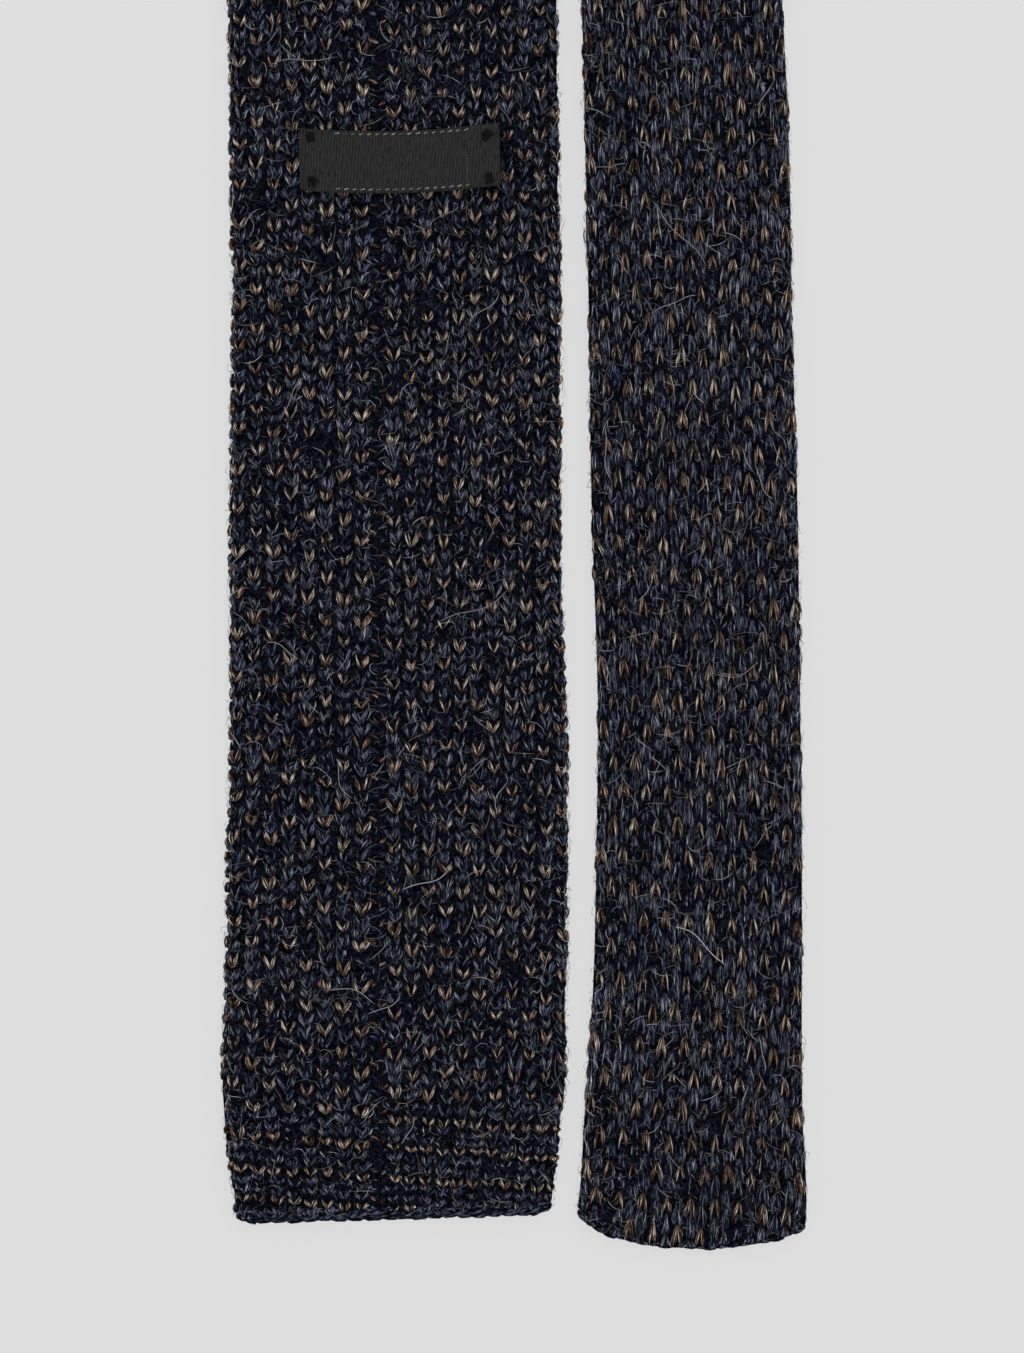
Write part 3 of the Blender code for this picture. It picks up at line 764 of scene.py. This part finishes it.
brownWool = woolMaterial("taupe wool yarn", "brown", (1, 1, 1))
navyWool = woolMaterial("navy wool yarn", "navy", (1, 1, 1))
# where no single fibres are made, the yarn itself is as bright as they are
brownWoolFar = woolMaterial("taupe wool yarn without fibres", "brown", woolLook["brown"]["far"])
navyWoolFar = woolMaterial("navy wool yarn without fibres", "navy", woolLook["navy"]["far"])

hairFinish = {"roughness": 0.75, "specular": 0.1}
brownFibres = strandMaterial("taupe wool fibres", **hairFinish, stops=[
    (0.0, (0.012, 0.008, 0.008)), (0.30, (0.050, 0.031, 0.025)), (0.42, (0.30, 0.165, 0.100)),
    (0.54, (0.42, 0.300, 0.230)), (0.74, (0.78, 0.64, 0.53)), (1.0, (1.0, 0.94, 0.86))])
navyFibres = strandMaterial("navy wool fibres", **hairFinish, stops=[
    (0.0, (0.003, 0.0035, 0.0065)), (0.30, (0.017, 0.020, 0.033)), (0.58, (0.106, 0.118, 0.160)),
    (0.84, (0.315, 0.332, 0.390)), (1.0, (0.66, 0.665, 0.70))])
# the pale grey top of this ramp is partly pale hairs and partly painted highlight, light glinting on fine
# hairs
hairMaterial = strandMaterial("loose wool hairs", **hairFinish, stops=[
    (0.0, (0.008, 0.0095, 0.017)), (0.32, (0.060, 0.071, 0.102)), (0.62, (0.20, 0.22, 0.275)),
    (0.70, (0.18, 0.145, 0.13)), (0.78, (0.33, 0.27, 0.24)), (0.88, (0.38, 0.40, 0.44)),
    (1.0, (0.66, 0.67, 0.69))])


# The knit's body: a thin hollow tube below the stitches, open at the wide tip
bodyLook = {
    "inset": 0.0006, "edgeFill": 0.0004, "innerInset": 0.0019, "roundSteps": 40, "foldSteps": 11,
    "start": 0.0009, "step": 0.0085, "tipStep": 0.0022, "tipRun": 0.018,
    "endGap": 0.0002, "innerEndGap": 0.0060, "flatWidth": 0.145,
    "grain": 1400.0, "ground": [(0.42, (0.0012, 0.0014, 0.0028)), (0.66, (0.009, 0.010, 0.017))],
    "roughness": 0.95, "specular": 0.0, "bump": 0.6, "bumpDistance": 0.0003,
}


def roundedTip(along, wale, depth):
    # the body's rings draw back near the narrow tip, so that the last one follows the rounded rim
    u, n = roundTube(along, wale, depth)
    y = narrowYAt(np.maximum(along, foldEnd))
    fade = np.clip(1 - (y + tieSize["narrowTipDrop"]) / tieSize["narrowTipRun"], 0, 1)
    rise = narrowRim(u, y) + tieSize["narrowTipDrop"] - u * narrowLean(y)
    return tubePoint((along - fade * rise).ravel(), u.ravel(), n.ravel())


def makeKnitBody():
    look = bodyLook
    start, end, step = look["start"], tieEnd - look["endGap"], look["step"]
    stations = np.linspace(start, end, int((end - start) / step))
    clear = (stations < foldCentreY - step / 3) | (stations > foldEnd + step / 3)
    clear &= (stations > look["tipRun"]) & (stations < end - look["tipRun"])
    foldStations = np.linspace(foldCentreY, foldEnd, look["foldSteps"])
    tipStations = np.arange(start, look["tipRun"], look["tipStep"])
    tipStations = np.concatenate([tipStations, end + start - tipStations])
    stations = np.sort(np.concatenate([stations[clear], foldStations, tipStations]))
    sides = look["roundSteps"]
    wale = np.linspace(0, wales["round"], sides, endpoint=False)
    places = np.meshgrid(stations, wale, indexing="ij")
    onEdge = 1 - (roundTube(*places, 0.0)[1] / halfThick) ** 2
    outer = roundedTip(*places, look["inset"] - look["edgeFill"] * np.clip(onEdge, 0, 1))
    innerStations = stations[stations < tieEnd - look["innerEndGap"]]
    inner = roundedTip(*np.meshgrid(innerStations, wale, indexing="ij"), look["innerInset"])
    # the lip at the mouth, between the first rings of the two walls
    c = np.arange(sides)
    lip = np.stack([c + len(outer), (c + 1) % sides + len(outer), (c + 1) % sides, c], axis=-1)
    faces = np.concatenate([
        ringFaces(len(stations), sides), ringFaces(len(innerStations), sides)[:, ::-1] + len(outer), lip,
        endCap(len(outer) - sides, sides, False), endCap(len(outer) + len(inner) - sides, sides, True),
    ])
    return np.concatenate([outer, inner]), faces, stations


bodyMaterial, tree, shader = newMaterial("navy wool ground", bodyLook["roughness"], bodyLook["specular"])
bodyPlace = addNode(tree, "TexCoord")["Object"]
grain = addNode(tree, "TexNoise", {"Vector": bodyPlace, "Scale": bodyLook["grain"], "Detail": 3.0})["Fac"]
ground = addRamp(tree, grain, bodyLook["ground"])
finishShader(tree, shader, ground, grain, bodyLook["bump"], bodyLook["bumpDistance"])

bodyPoints, bodyFaces, bodyStations = makeKnitBody()
knitBody = makePiece("knit_body", bodyPoints, bodyFaces, bodyMaterial, "knitted_wool")
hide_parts("knit_tube")


# The stitches
nearRun = {"from": 0.256, "to": 0.284}  # how far up from the tips the stitches are made in full
lowest = 0.00003                        # nothing of the knit goes under the floor
isUp = faceUp(stitchAt, stitchWale) & ~underNeck(stitchAt, stitchWale)
fromTips = np.where(stitchAt < foldCentreY, stitchAt, tieEnd - stitchAt)
isNear = isUp & (fromTips < nearRun["from"] + (nearRun["to"] - nearRun["from"]) * stitchDraws["seed"])


def keepKnit(name, made, material):
    # one more piece of the knit
    points, faces, yarn = made
    points[:, 2] = np.maximum(points[:, 2], lowest)
    makePiece(name, points, faces, material, "knitted_wool", yarn=yarn)


def keepBothLegs(name, mask, make, sort, material):
    chosen = np.nonzero(mask)[0]
    keepKnit(name, joinParts([make(chosen, side, sort) for side in (-1, 1)]), material)


keepBothLegs("taupe_stitches", stitchBrown & isNear, makeLegs, "near", brownWool)
keepBothLegs("navy_stitches", ~stitchBrown & isNear, makeLegs, "near", navyWool)
keepBothLegs("taupe_stitches_upper", stitchBrown & isUp & ~isNear, makeLegs, "upper", brownWoolFar)
keepBothLegs("navy_stitches_upper", ~stitchBrown & isUp & ~isNear, makeLegs, "upper", navyWoolFar)
keepBothLegs("taupe_stitches_under", stitchBrown & ~isUp, makeLegs, "under", brownWoolFar)
keepBothLegs("navy_stitches_under", ~stitchBrown & ~isUp, makeLegs, "under", navyWoolFar)
keepBothLegs("taupe_fibres", stitchBrown & isNear, makeFibres, "brown", brownFibres)
keepBothLegs("navy_fibres", ~stitchBrown & isNear, makeFibres, "navy", navyFibres)


# The linking seam: a slanted dash from each of the two wales beside it, course by course
seamLook = {
    "aside": 0.235, "raise": 0.0013, "length": 0.00205, "slope": math.radians(35), "halfWidth": 0.00043,
    "thick": 0.0011, "wander": 0.05, "wanderRun": 0.085, "top": 0.00015, "usualPitch": 0.0028,
    "clearWide": 0.002, "clearNarrow": 0.004,
    "jitterSlope": 0.25, "jitterLength": 0.15, "jitterTop": 0.00008, "jitterWidth": 0.12,
    "stations": (0.0, 0.18, 0.5, 0.82, 1.0), "widths": (0.0, 0.8, 1.0, 0.8, 0.0),
    "tops": (0.5, 0.1, 0.0, 0.1, 0.5),
}


def makeSeam(brown):
    look = seamLook
    t = np.array([look["stations"]]) - 0.5
    parts = []
    for lastWale, side in ((wales["count"] - 1, -1), (0, 1)):
        raised = stitchAt + look["raise"]
        mask = (stitchWale == waleCentre(lastWale)) & (stitchBrown == brown)
        mask &= (raised > look["clearWide"]) & (raised < tieEnd - look["clearNarrow"])
        at = raised[mask]
        d = {key: values[mask] for key, values in stitchDraws.items()}
        middle = look["wander"] * np.sin(2 * math.pi * at / look["wanderRun"]) + side * look["aside"]
        slope = look["slope"] * (1 + look["jitterSlope"] * d["lean"])
        run = look["length"] * (1 + look["jitterLength"] * d["high"])
        run = run * np.clip(stitchPitch[mask] / look["usualPitch"], 0.8, 1.4)
        line = at[:, None] + (run * np.sin(slope))[:, None] * t
        wale = middle[:, None] + side * (run * np.cos(slope) / waleWidth(at))[:, None] * t
        top = np.array(look["tops"]) * look["thick"] + look["top"]
        top = top + look["jitterTop"] * d["top"][:, None].clip(-1, 2)
        half = look["halfWidth"] * (1 + look["jitterWidth"] * d["size"])[:, None] * look["widths"]
        parts.append(makeStrands(line, wale, top, half, evenly(look["thick"]), halfRound, d["seed"]))
    return joinParts(parts)


keepKnit("seam_taupe_links", makeSeam(True), brownWool)
keepKnit("seam_navy_links", makeSeam(False), navyWool)


# The bound-off rims: a chain of plump links round the wide blade's mouth and along the narrow tip
rimLook = {
    "overlap": 1.38, "halfWidth": 0.00072, "thick": 0.0013, "tilt": 0.00040, "jitter": 0.00012,
    "rows": ({"along": 0.00165, "depth": 0.00030}, {"along": 0.00075, "depth": 0.00005},
             {"along": 0.00020, "depth": 0.00105}),
    "stations": (0.0, 0.15, 0.5, 0.85, 1.0), "widths": (0.0, 0.78, 1.0, 0.72, 0.0),
    "tops": (0.6, 0.15, 0.0, 0.25, 0.8), "sizes": (0.88, 1.08),
    "sides": 6, "narrowLinks": 21, "narrowHalf": 0.00062, "narrowEnd": 0.00028, "narrowTilt": 0.00035,
    "narrowSink": 0.6, "narrowApart": 0.55, "narrowJitter": 0.00014,
}


def makeWideRim():
    look = rimLook
    t = np.array([look["stations"]]) - 0.5
    parts = []
    for i, row in enumerate(look["rows"]):
        k = np.arange(wales["count"] + 1) + wales["seamHalf"] + 0.25 + 0.5 * (i % 2)
        seed = rng.uniform(0, 1, len(k))
        wale = k[:, None] * wales["round"] / len(k) + look["overlap"] * t
        line = row["along"] + look["tilt"] * 2 * t * (1 if i % 2 else -1)
        line = line + look["jitter"] * rng.normal(0, 1, (len(k), 1))
        top = np.array(look["tops"]) * look["thick"] + row["depth"] + np.zeros_like(wale)
        half = look["halfWidth"] * np.array(look["widths"]) * rng.uniform(*look["sizes"], (len(k), 1))
        parts.append(makeStrands(line, wale, top, half, evenly(look["thick"]), halfRound, seed))
    return joinParts(parts)


def makeNarrowRim():
    look = rimLook
    tipY = -tieSize["narrowTipDrop"]
    reach = float(narrowHalf(np.float64(tipY))) - look["narrowEnd"]
    fineU = np.linspace(-reach, reach, 400)
    fineY = narrowRim(fineU, np.full(400, tipY)) + look["narrowHalf"] * look["narrowSink"]
    run = runningTotal(np.hypot(np.diff(fineU), np.diff(fineY)))
    lip = halfThick * tieSize["narrowTipThickness"][0] * look["narrowApart"]
    t = np.array([look["stations"]]) - 0.5
    ends = look["overlap"] / 2
    parts = []
    for row, side in enumerate((1, -1)):
        i = np.linspace(ends, look["narrowLinks"] - ends, look["narrowLinks"] + row)
        at = (i[:, None] + look["overlap"] * t) * run[-1] / look["narrowLinks"]
        u = np.interp(at, run, fineU)
        y = np.interp(at, run, fineY)
        z = halfThick + side * (lip + look["narrowTilt"] * 2 * t) + np.zeros_like(u)
        jitter = look["narrowJitter"] * rng.normal(0, 1, (len(i), 1))
        half = look["narrowHalf"] * np.array(look["widths"]) * rng.uniform(*look["sizes"], (len(i), 1))
        centres = np.stack([narrowCentre(y) + u, y + jitter, z], axis=-1)
        parts.append(makeCords(centres, half, look["sides"], rng.uniform(0, 1, len(i))))
    return joinParts(parts)


keepKnit("wide_rim_chain", makeWideRim(), navyWool)
keepKnit("narrow_rim_chain", makeNarrowRim(), navyWool)
print("seam and rims made")


# The loose wool hairs that stand and lie on the knit
hairLook = {
    "sets": [
        {"name": "short_hairs", "count": 22500, "length": (0.0008, 0.0024), "stations": 3, "combed": 0.65,
         "halfWidth": 0.000055, "lift": (0.0, 0.0006), "bend": 1.0, "palest": 0.90},
        {"name": "long_hairs", "count": 4600, "length": (0.0026, 0.0068), "stations": 5, "combed": 0.0,
         "halfWidth": 0.000038, "lift": (0.0001, 0.0010), "bend": 1.8, "palest": 0.99},
    ],
    "root": 0.00035, "viewEnd": 0.258, "viewFade": 0.05, "far": 0.22, "under": 0.04, "narrow": 1.25,
    "legLean": (math.radians(32), math.radians(22)), "sizes": (0.75, 1.25),
    "clearWide": 0.0012, "clearNarrow": 0.003,
    "tries": 6, "finer": 4,   # places drawn for each hair that is kept, and steps between its stations
}


def placeHairs(count):
    look = hairLook
    many = count * look["tries"]
    along = rng.uniform(look["clearWide"], tieEnd - look["clearNarrow"], many)
    wale = rng.uniform(0, wales["round"], many)
    fromTips = np.where(along < foldCentreY, along, tieEnd - along)
    weight = look["far"] + (1 - look["far"]) * (1 - ease((fromTips - look["viewEnd"]) / look["viewFade"]))
    weight = weight * waleWidth(along) * np.where(along > foldEnd, look["narrow"], 1.0)
    weight = np.where(faceUp(along, wale) & ~underNeck(along, wale), weight, weight * look["under"])
    chosen = rng.choice(many, count, replace=False, p=weight / weight.sum())
    return along[chosen], wale[chosen]


def makeHairs(row):
    look, count = hairLook, row["count"]
    along, wale = placeHairs(count)
    length = rng.uniform(*row["length"], count)
    heading = np.where(rng.uniform(0, 1, count) < row["combed"],
                       rng.choice([-1, 1], count) * rng.normal(*look["legLean"], count),
                       rng.uniform(0, 2 * math.pi, count))
    bend = rng.normal(0, row["bend"], count)
    fine = np.linspace(0, 1, look["finer"] * (row["stations"] - 1) + 1)
    turned = heading[:, None] + bend[:, None] * (fine[1:] - 0.5)
    step = (length / (len(fine) - 1))[:, None]
    goAlong = runningTotal(np.cos(turned) * step)[:, ::look["finer"]]
    goAcross = runningTotal(np.sin(turned) * step)[:, ::look["finer"]]
    line = along[:, None] + goAlong
    waleLine = wale[:, None] + goAcross / waleWidth(along)[:, None]
    lift = rng.uniform(0, 1, count) ** 2 * (row["lift"][1] - row["lift"][0]) + row["lift"][0]
    endDrop = rng.uniform(0, 1, (count, 1))
    t = np.linspace(0, 1, row["stations"])
    top = look["root"] * (1 - t) ** 1.5 - lift[:, None] * np.sin(math.pi * t * (0.5 + 0.5 * endDrop))
    half = np.full_like(line, row["halfWidth"]) * rng.uniform(*look["sizes"], (count, 1))
    return makeHairStrands(line, waleLine, top, half, rng.uniform(0, row["palest"], count))


for row in hairLook["sets"]:
    keepKnit(row["name"], makeHairs(row), hairMaterial)

# The longest stray hairs, placed as they lie: x aside from the wide blade's middle and y along from its
# tip's level, in millimetres, heading in degrees from +X, length in millimetres, bow and shade
strayHairs = [
    (1, 67.5, 22, 11.5, 0.6, 0.95), (-15, 47, -14, 12, -0.7, 0.88), (-6, 42, 30, 9, 1.1, 0.86),
    (8.5, 122.5, 24, 17, 0.3, 0.80), (-26.5, 237, 8, 15, -0.4, 0.80), (43, 163, -84, 12, 0.5, 0.86),
    (-24, 164, 62, 11, -0.6, 0.84), (-12, 94, -70, 9, 0.9, 0.83), (57, 60, -36, 14.5, -0.6, 1.0),
    (52.5, 210, -50, 19, -0.3, 0.82), (62, 190, 200, 10, 0.8, 0.85), (78, 148, 120, 9, -0.9, 0.84),
    (66, 112, 15, 10, 0.9, 0.83), (76, 30, 100, 8, 0.8, 0.85), (-20, 115, 150, 8, 0.9, 0.85),
    (21, 83, 75, 8, -1.0, 0.86), (15, 185, 40, 9, 0.8, 0.84), (1, 15, 65, 7, 0.8, 0.86),
]
strayLook = {
    "stations": 13, "halfWidth": 0.000058, "rise": 0.0004, "clear": 0.00012, "rootDip": 0.0004, "waver": 0.25,
}


def makeStrays():
    look = strayLook
    t = np.linspace(0, 1, look["stations"])
    z = thickness + look["clear"] + look["rise"] * np.sin(math.pi * t) - look["rootDip"] * (1 - t) ** 4
    centres = []
    for x, y, heading, length, bow, _ in strayHairs:
        turned = math.radians(heading) + bow * (t - 0.5) + look["waver"] * np.sin(7 * t + x * 0.9)
        step = length * mm / (look["stations"] - 1)
        goX, goY = runningTotal(np.cos(turned[1:]) * step), runningTotal(np.sin(turned[1:]) * step)
        centres.append(np.stack([x * mm + goX, y * mm + goY, z], axis=-1))
    taper = [0.0] + [1.0] * (look["stations"] - 3) + [0.7, 0.0]
    half = look["halfWidth"] * np.tile(taper, (len(centres), 1))
    return makeCords(np.array(centres), half, 4, np.array([row[-1] for row in strayHairs]))


keepKnit("stray_hairs", makeStrays(), hairMaterial)
print("hairs made")


# The label: a woven ribbon with both ends turned under, bare, and bowed as it lies
labelLook = {
    "clothHalf": 0.00014, "lowZ": 0.00017, "highZ": 0.00070, "middleDrop": 0.00020, "creaseRun": 0.0006,
    "selvage": 0.0011, "selvageRun": 0.002,
    "columns": 26, "topSteps": 150, "underSteps": 16, "foldSteps": 7,
    "pucker": 0.00022, "puckerRadius": 0.0011, "wave": 0.00006, "waveX": 0.0036, "waveY": 0.0027,
    "ribPitch": 0.00030, "ribDepth": 0.00006, "ribStretch": 0.50, "ribScale": 0.314, "mix": 0.62,
    "satin": [(0.28, (0.0030, 0.0030, 0.0032)), (0.48, (0.0100, 0.0100, 0.0103)),
              (0.68, (0.046, 0.046, 0.045))],
    "roughness": 0.6, "specular": 0.06, "bump": 0.5,
}


def ribbonLine():
    # (x, z) along the ribbon's length, from the end under the left fold to the end under the right one
    look = labelLook
    half = labelSize["length"] / 2
    radius = (look["highZ"] - look["lowZ"]) / 2
    foldX = half - radius - look["clothHalf"]
    turned = half - labelSize["turnUnder"]
    under = [(x, look["lowZ"]) for x in np.linspace(-turned, -foldX, look["underSteps"])]
    angles = np.linspace(0, math.pi, look["foldSteps"] + 2)[1:-1]
    turn = [(-foldX - radius * math.sin(a), look["lowZ"] + radius * (1 - math.cos(a))) for a in angles]
    top = [(x, look["highZ"]) for x in np.linspace(-foldX, foldX, look["topSteps"])]
    left = under + turn
    right = [(-x, z) for x, z in reversed(left)]
    # the lower cloth stands out a little at the left end
    left = [(x - look["selvage"] * float(ease((-x - foldX + look["selvageRun"]) / look["selvageRun"]))
             * (1 - (z - look["lowZ"]) / (2 * radius)), z) for x, z in left]
    return np.array(left + top + right)


def middleDrop(x):
    # the ribbon sinks where it has nothing turned under it
    fromEnd = labelSize["length"] / 2 - np.abs(x)
    return labelLook["middleDrop"] * ease((fromEnd - labelSize["turnUnder"]) / labelLook["creaseRun"])


def makeLabel():
    look = labelLook
    line = ribbonLine()
    tangent = np.gradient(line, axis=0)
    tangent /= np.linalg.norm(tangent, axis=1, keepdims=True)
    run = runningTotal(np.hypot(*np.diff(line, axis=0).T))
    across = np.linspace(-1, 1, look["columns"]) * labelSize["height"] / 2
    across = np.concatenate([across, across[::-1]])
    side = np.repeat([1.0, -1.0], look["columns"])
    x = (line[:, :1] - look["clothHalf"] * tangent[:, 1:] * side).ravel()
    z = (line[:, 1:] + look["clothHalf"] * tangent[:, :1] * side).ravel()
    y = np.tile(across, len(line))
    weave = np.stack([np.repeat(run, len(across)), y, np.tile((side + 1) / 2, len(line))], axis=-1) / mm
    onTop = np.clip((z - look["lowZ"]) / (look["highZ"] - look["lowZ"]), 0, 1)
    drop = middleDrop(x) + look["wave"] * np.sin(x / look["waveX"] + 1.3) * np.sin(y / look["waveY"])
    y = y + labelSag(x)
    for row in tackRows:
        tackX, tackY = tackPlace(row)
        away = ((x - tackX) ** 2 + (y - tackY) ** 2) / look["puckerRadius"] ** 2
        drop = drop + look["pucker"] * np.exp(-away)
    sides = len(across)
    faces = [ringFaces(len(line), sides), endCap(0, sides, True), endCap(len(x) - sides, sides, False)]
    return labelPoint(x, y, z - drop * onTop), np.concatenate(faces), weave


satinMaterial, tree, shader = newMaterial(
    "charcoal satin ribbon", labelLook["roughness"], labelLook["specular"])
weavePlace = addNode(tree, "Attribute", attribute_name="weave")["Vector"]
ribSize = (mm / labelLook["ribPitch"], labelLook["ribStretch"], 1.0)
ribPlace = addNode(tree, "VectorMath", {0: weavePlace, 1: ribSize}, operation="MULTIPLY")[0]
ribWave = {"Vector": ribPlace, "Scale": labelLook["ribScale"], "Distortion": 0.3, "Detail": 2.0}
ribs = addNode(tree, "TexWave", ribWave, wave_type="BANDS", bands_direction="X")["Fac"]
slubs = addNode(tree, "TexNoise", {"Vector": ribPlace, "Scale": 1.2, "Detail": 4.0})["Fac"]
ribbed = addNode(tree, "Mix", {0: labelLook["mix"], 2: ribs, 3: slubs}, data_type="FLOAT")[0]
satin = addRamp(tree, ribbed, labelLook["satin"])
finishShader(tree, shader, satin, ribbed, labelLook["bump"], labelLook["ribDepth"])

points, faces, weave = makeLabel()
label = makePiece("label_ribbon", points, faces, satinMaterial, "woven_label", weave=weave)
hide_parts("keeper_label")

# A broken line of pale picks along each long edge of the ribbon
pickLook = {
    "start": -0.0133, "end": 0.0142, "pitch": 0.00166, "fromTop": 0.00062, "fromLow": 0.00080,
    "length": 0.00050, "halfWidth": 0.00014, "apart": 0.00021, "skip": 0.12, "faint": 0.6,
    "jitter": 0.00003, "step": 0.00006, "slant": 0.00010, "raise": 0.00003, "dive": 0.00012,
    "selvagePitch": 0.00056, "selvageShare": 0.86, "creaseX": 0.01325, "dotLength": 0.8, "dotRaise": 0.00004,
    "widths": (0.0, 0.8, 1.0, 0.8, 0.0), "sizes": (0.55, 1.0),
    "colours": [(0.0, (0.03, 0.03, 0.03)), (0.3, (0.14, 0.14, 0.135)), (1.0, (0.50, 0.50, 0.48))],
}


def makePicks():
    look = pickLook
    t = np.linspace(-0.5, 0.5, 5)
    widths = look["halfWidth"] * np.array(look["widths"])
    topZ = labelLook["highZ"] + labelLook["clothHalf"]
    centres, halves = [], []
    for edge, inset in ((1, look["fromTop"]), (-1, look["fromLow"])):
        for x in np.arange(look["start"], look["end"], look["pitch"]):
            strength = rng.uniform(*look["sizes"])
            if rng.uniform() < look["skip"]:
                strength *= look["faint"]
            for part in (-1, 1):
                px = x + part * look["apart"] + t * look["length"] + rng.normal(0, look["jitter"])
                py = edge * (labelSize["height"] / 2 - inset) + part * look["step"] + t * look["slant"]
                z = topZ - middleDrop(px) + look["raise"] - look["dive"] * (2 * t) ** 2
                centres.append(labelPoint(px, py + labelSag(px), z))
                halves.append(strength * widths)
    picked = len(centres)
    # fine dots down the selvage at the left end, and where the right end's turn-under stops
    leftX = -labelSize["length"] / 2 - labelLook["selvage"] * look["selvageShare"]
    creaseZ = labelLook["highZ"] - labelLook["middleDrop"] * 0.3
    for x, height in ((leftX, labelLook["lowZ"]), (look["creaseX"], creaseZ)):
        for y in np.arange(-0.45, 0.45, look["selvagePitch"] / labelSize["height"]) * labelSize["height"]:
            px = x + 0 * t
            py = y + t * look["length"] * look["dotLength"]
            z = height + labelLook["clothHalf"] + look["dotRaise"] + 0 * t
            centres.append(labelPoint(px, py + labelSag(px), z))
            halves.append(rng.uniform(*look["sizes"]) * look["faint"] * widths)
    shades = np.concatenate([rng.uniform(0.35, 1, picked), rng.uniform(0, 0.3, len(centres) - picked)])
    return makeCords(np.array(centres), np.array(halves), 6, shades)


pickMaterial = strandMaterial("pale ribbon thread", 0.5, 0.5, pickLook["colours"])
points, faces, yarn = makePicks()
picks = makePiece("label_edge_picks", points, faces, pickMaterial, "woven_label", yarn=yarn)

# The tacks: a few crossed wraps of black thread at each corner of the label
threadLook = {
    "wraps": 6, "stations": 9, "sides": 7, "halfWidth": 0.00014, "reach": 0.00130, "side": 0.00095,
    "spread": 0.6, "skew": 0.55, "bow": 0.00060, "rise": 0.00046, "cross": 0.25, "dive": 0.00055,
    # the pale last colour is painted highlight, light glinting on the black thread
    "colours": [(0.2, (0.0006, 0.0006, 0.0008)), (0.80, (0.0026, 0.0026, 0.0030)),
                (1.0, (0.024, 0.024, 0.026))],
    "roughness": 0.45, "specular": 0.05,
}


def makeTack(row):
    look = threadLook
    tackX, tackY = tackPlace(row)
    lean = math.radians(row["lean"])
    t = np.linspace(-1, 1, look["stations"])
    centres = []
    for j in range(look["wraps"]):
        share = j / (look["wraps"] - 1) * 2 - 1
        skew = (-1) ** j * rng.uniform(0.5, 1.0)
        reach = look["reach"] * rng.uniform(0.72, 1.0)
        px = look["side"] * (share * look["spread"] + skew * look["skew"] * t)
        px = px + look["bow"] * rng.uniform(-1, 1) * (1 - t ** 2)
        py = reach * t
        rise = look["rise"] * (1 - t ** 4) * (1 - look["cross"] + look["cross"] * (-1) ** j)
        x = tackX + px * math.cos(lean) - py * math.sin(lean)
        y = tackY + px * math.sin(lean) + py * math.cos(lean)
        centres.append(labelPoint(x, y, 2 * labelSize["cloth"] + rise - look["dive"] * t ** 6))
    half = look["halfWidth"] * np.tile([0.0] + [1.0] * (look["stations"] - 2) + [0.0], (look["wraps"], 1))
    return makeCords(np.array(centres), half, look["sides"], rng.uniform(0, 1, look["wraps"]))


threadMaterial, tree, shader = newMaterial(
    "black sewing thread", threadLook["roughness"], threadLook["specular"])
threadPlace = addNode(tree, "Attribute", attribute_name="yarn")["Vector"]
# painted highlight: thin pale bands follow the thread's plies and stand for light glinting off its twist
plyGlints = addNode(tree, "TexWave", {"Vector": threadPlace, "Scale": 1.4, "Distortion": 1.0},
                bands_direction="DIAGONAL")["Fac"]
finishShader(tree, shader, addRamp(tree, plyGlints, threadLook["colours"]))
for row in tackRows:
    points, faces, yarn = makeTack(row)
    tack = makePiece("thread_tack_" + row["corner"], points, faces, threadMaterial, "tack_thread", yarn=yarn)
    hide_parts("label_tack_" + row["corner"])
print("label made, triangles in all:", triangleTotal)


# Floor, light and camera
# The floor's glow is painted light: the floor lights itself, so the tie's shadow on it nearly vanishes
stageLook = {
    "floorSize": 6.0, "floorColour": (0.10, 0.10, 0.10), "floorPaintedGlow": 0.636,   # most of its light is its own
    "sky": 0.78, "sun": 0.75, "sunAngle": 60, "sunTilt": 32, "sunTurn": 140,
}
floorMesh = bpy.data.meshes.new("floor")
half = stageLook["floorSize"] / 2
floorCorners = [(-half, -half, 0), (half, -half, 0), (half, half, 0), (-half, half, 0)]
floorMesh.from_pydata(floorCorners, [], [(0, 1, 2, 3)])
floor = addObject("floor", floorMesh)
floorMaterial, tree, shader = newMaterial("pale floor", 0.9, 0.0)
shader.inputs["Base Color"].default_value = (*stageLook["floorColour"], 1.0)
shader.inputs["Emission Color"].default_value = (1.0, 1.0, 1.0, 1.0)
shader.inputs["Emission Strength"].default_value = stageLook["floorPaintedGlow"]
floorMesh.materials.append(floorMaterial)

world = bpy.data.worlds.new("studio")
world.use_nodes = True
sky = world.node_tree.nodes["Background"]
sky.inputs["Color"].default_value = (1.0, 1.0, 1.0, 1.0)
sky.inputs["Strength"].default_value = stageLook["sky"]
bpy.context.scene.world = world

sunData = bpy.data.lights.new("softbox", "SUN")
sunData.energy = stageLook["sun"]
sunData.angle = math.radians(stageLook["sunAngle"])
sun = addObject("softbox", sunData)
sun.rotation_euler = (math.radians(stageLook["sunTilt"]), 0, math.radians(stageLook["sunTurn"]))
bpy.context.scene.view_settings.view_transform = "Standard"

# The photo's frame: straight above the lower 250 mm of both blades
cameraLook = {"middleX": -0.0003, "middleY": -0.2477, "frameHeight": 0.2786, "lens": 150.0, "sensor": 36.0}
cameraData = bpy.data.cameras.new("camera")
cameraData.lens = cameraLook["lens"]
cameraData.sensor_width = cameraLook["sensor"]
cameraData.clip_start = 0.01
camera = addObject("camera", cameraData)
cameraHeight = cameraLook["frameHeight"] * cameraLook["lens"] / cameraLook["sensor"]
camera.location = (cameraLook["middleX"], cameraLook["middleY"], cameraHeight + thickness)
bpy.context.scene.camera = camera

print("scene ready")
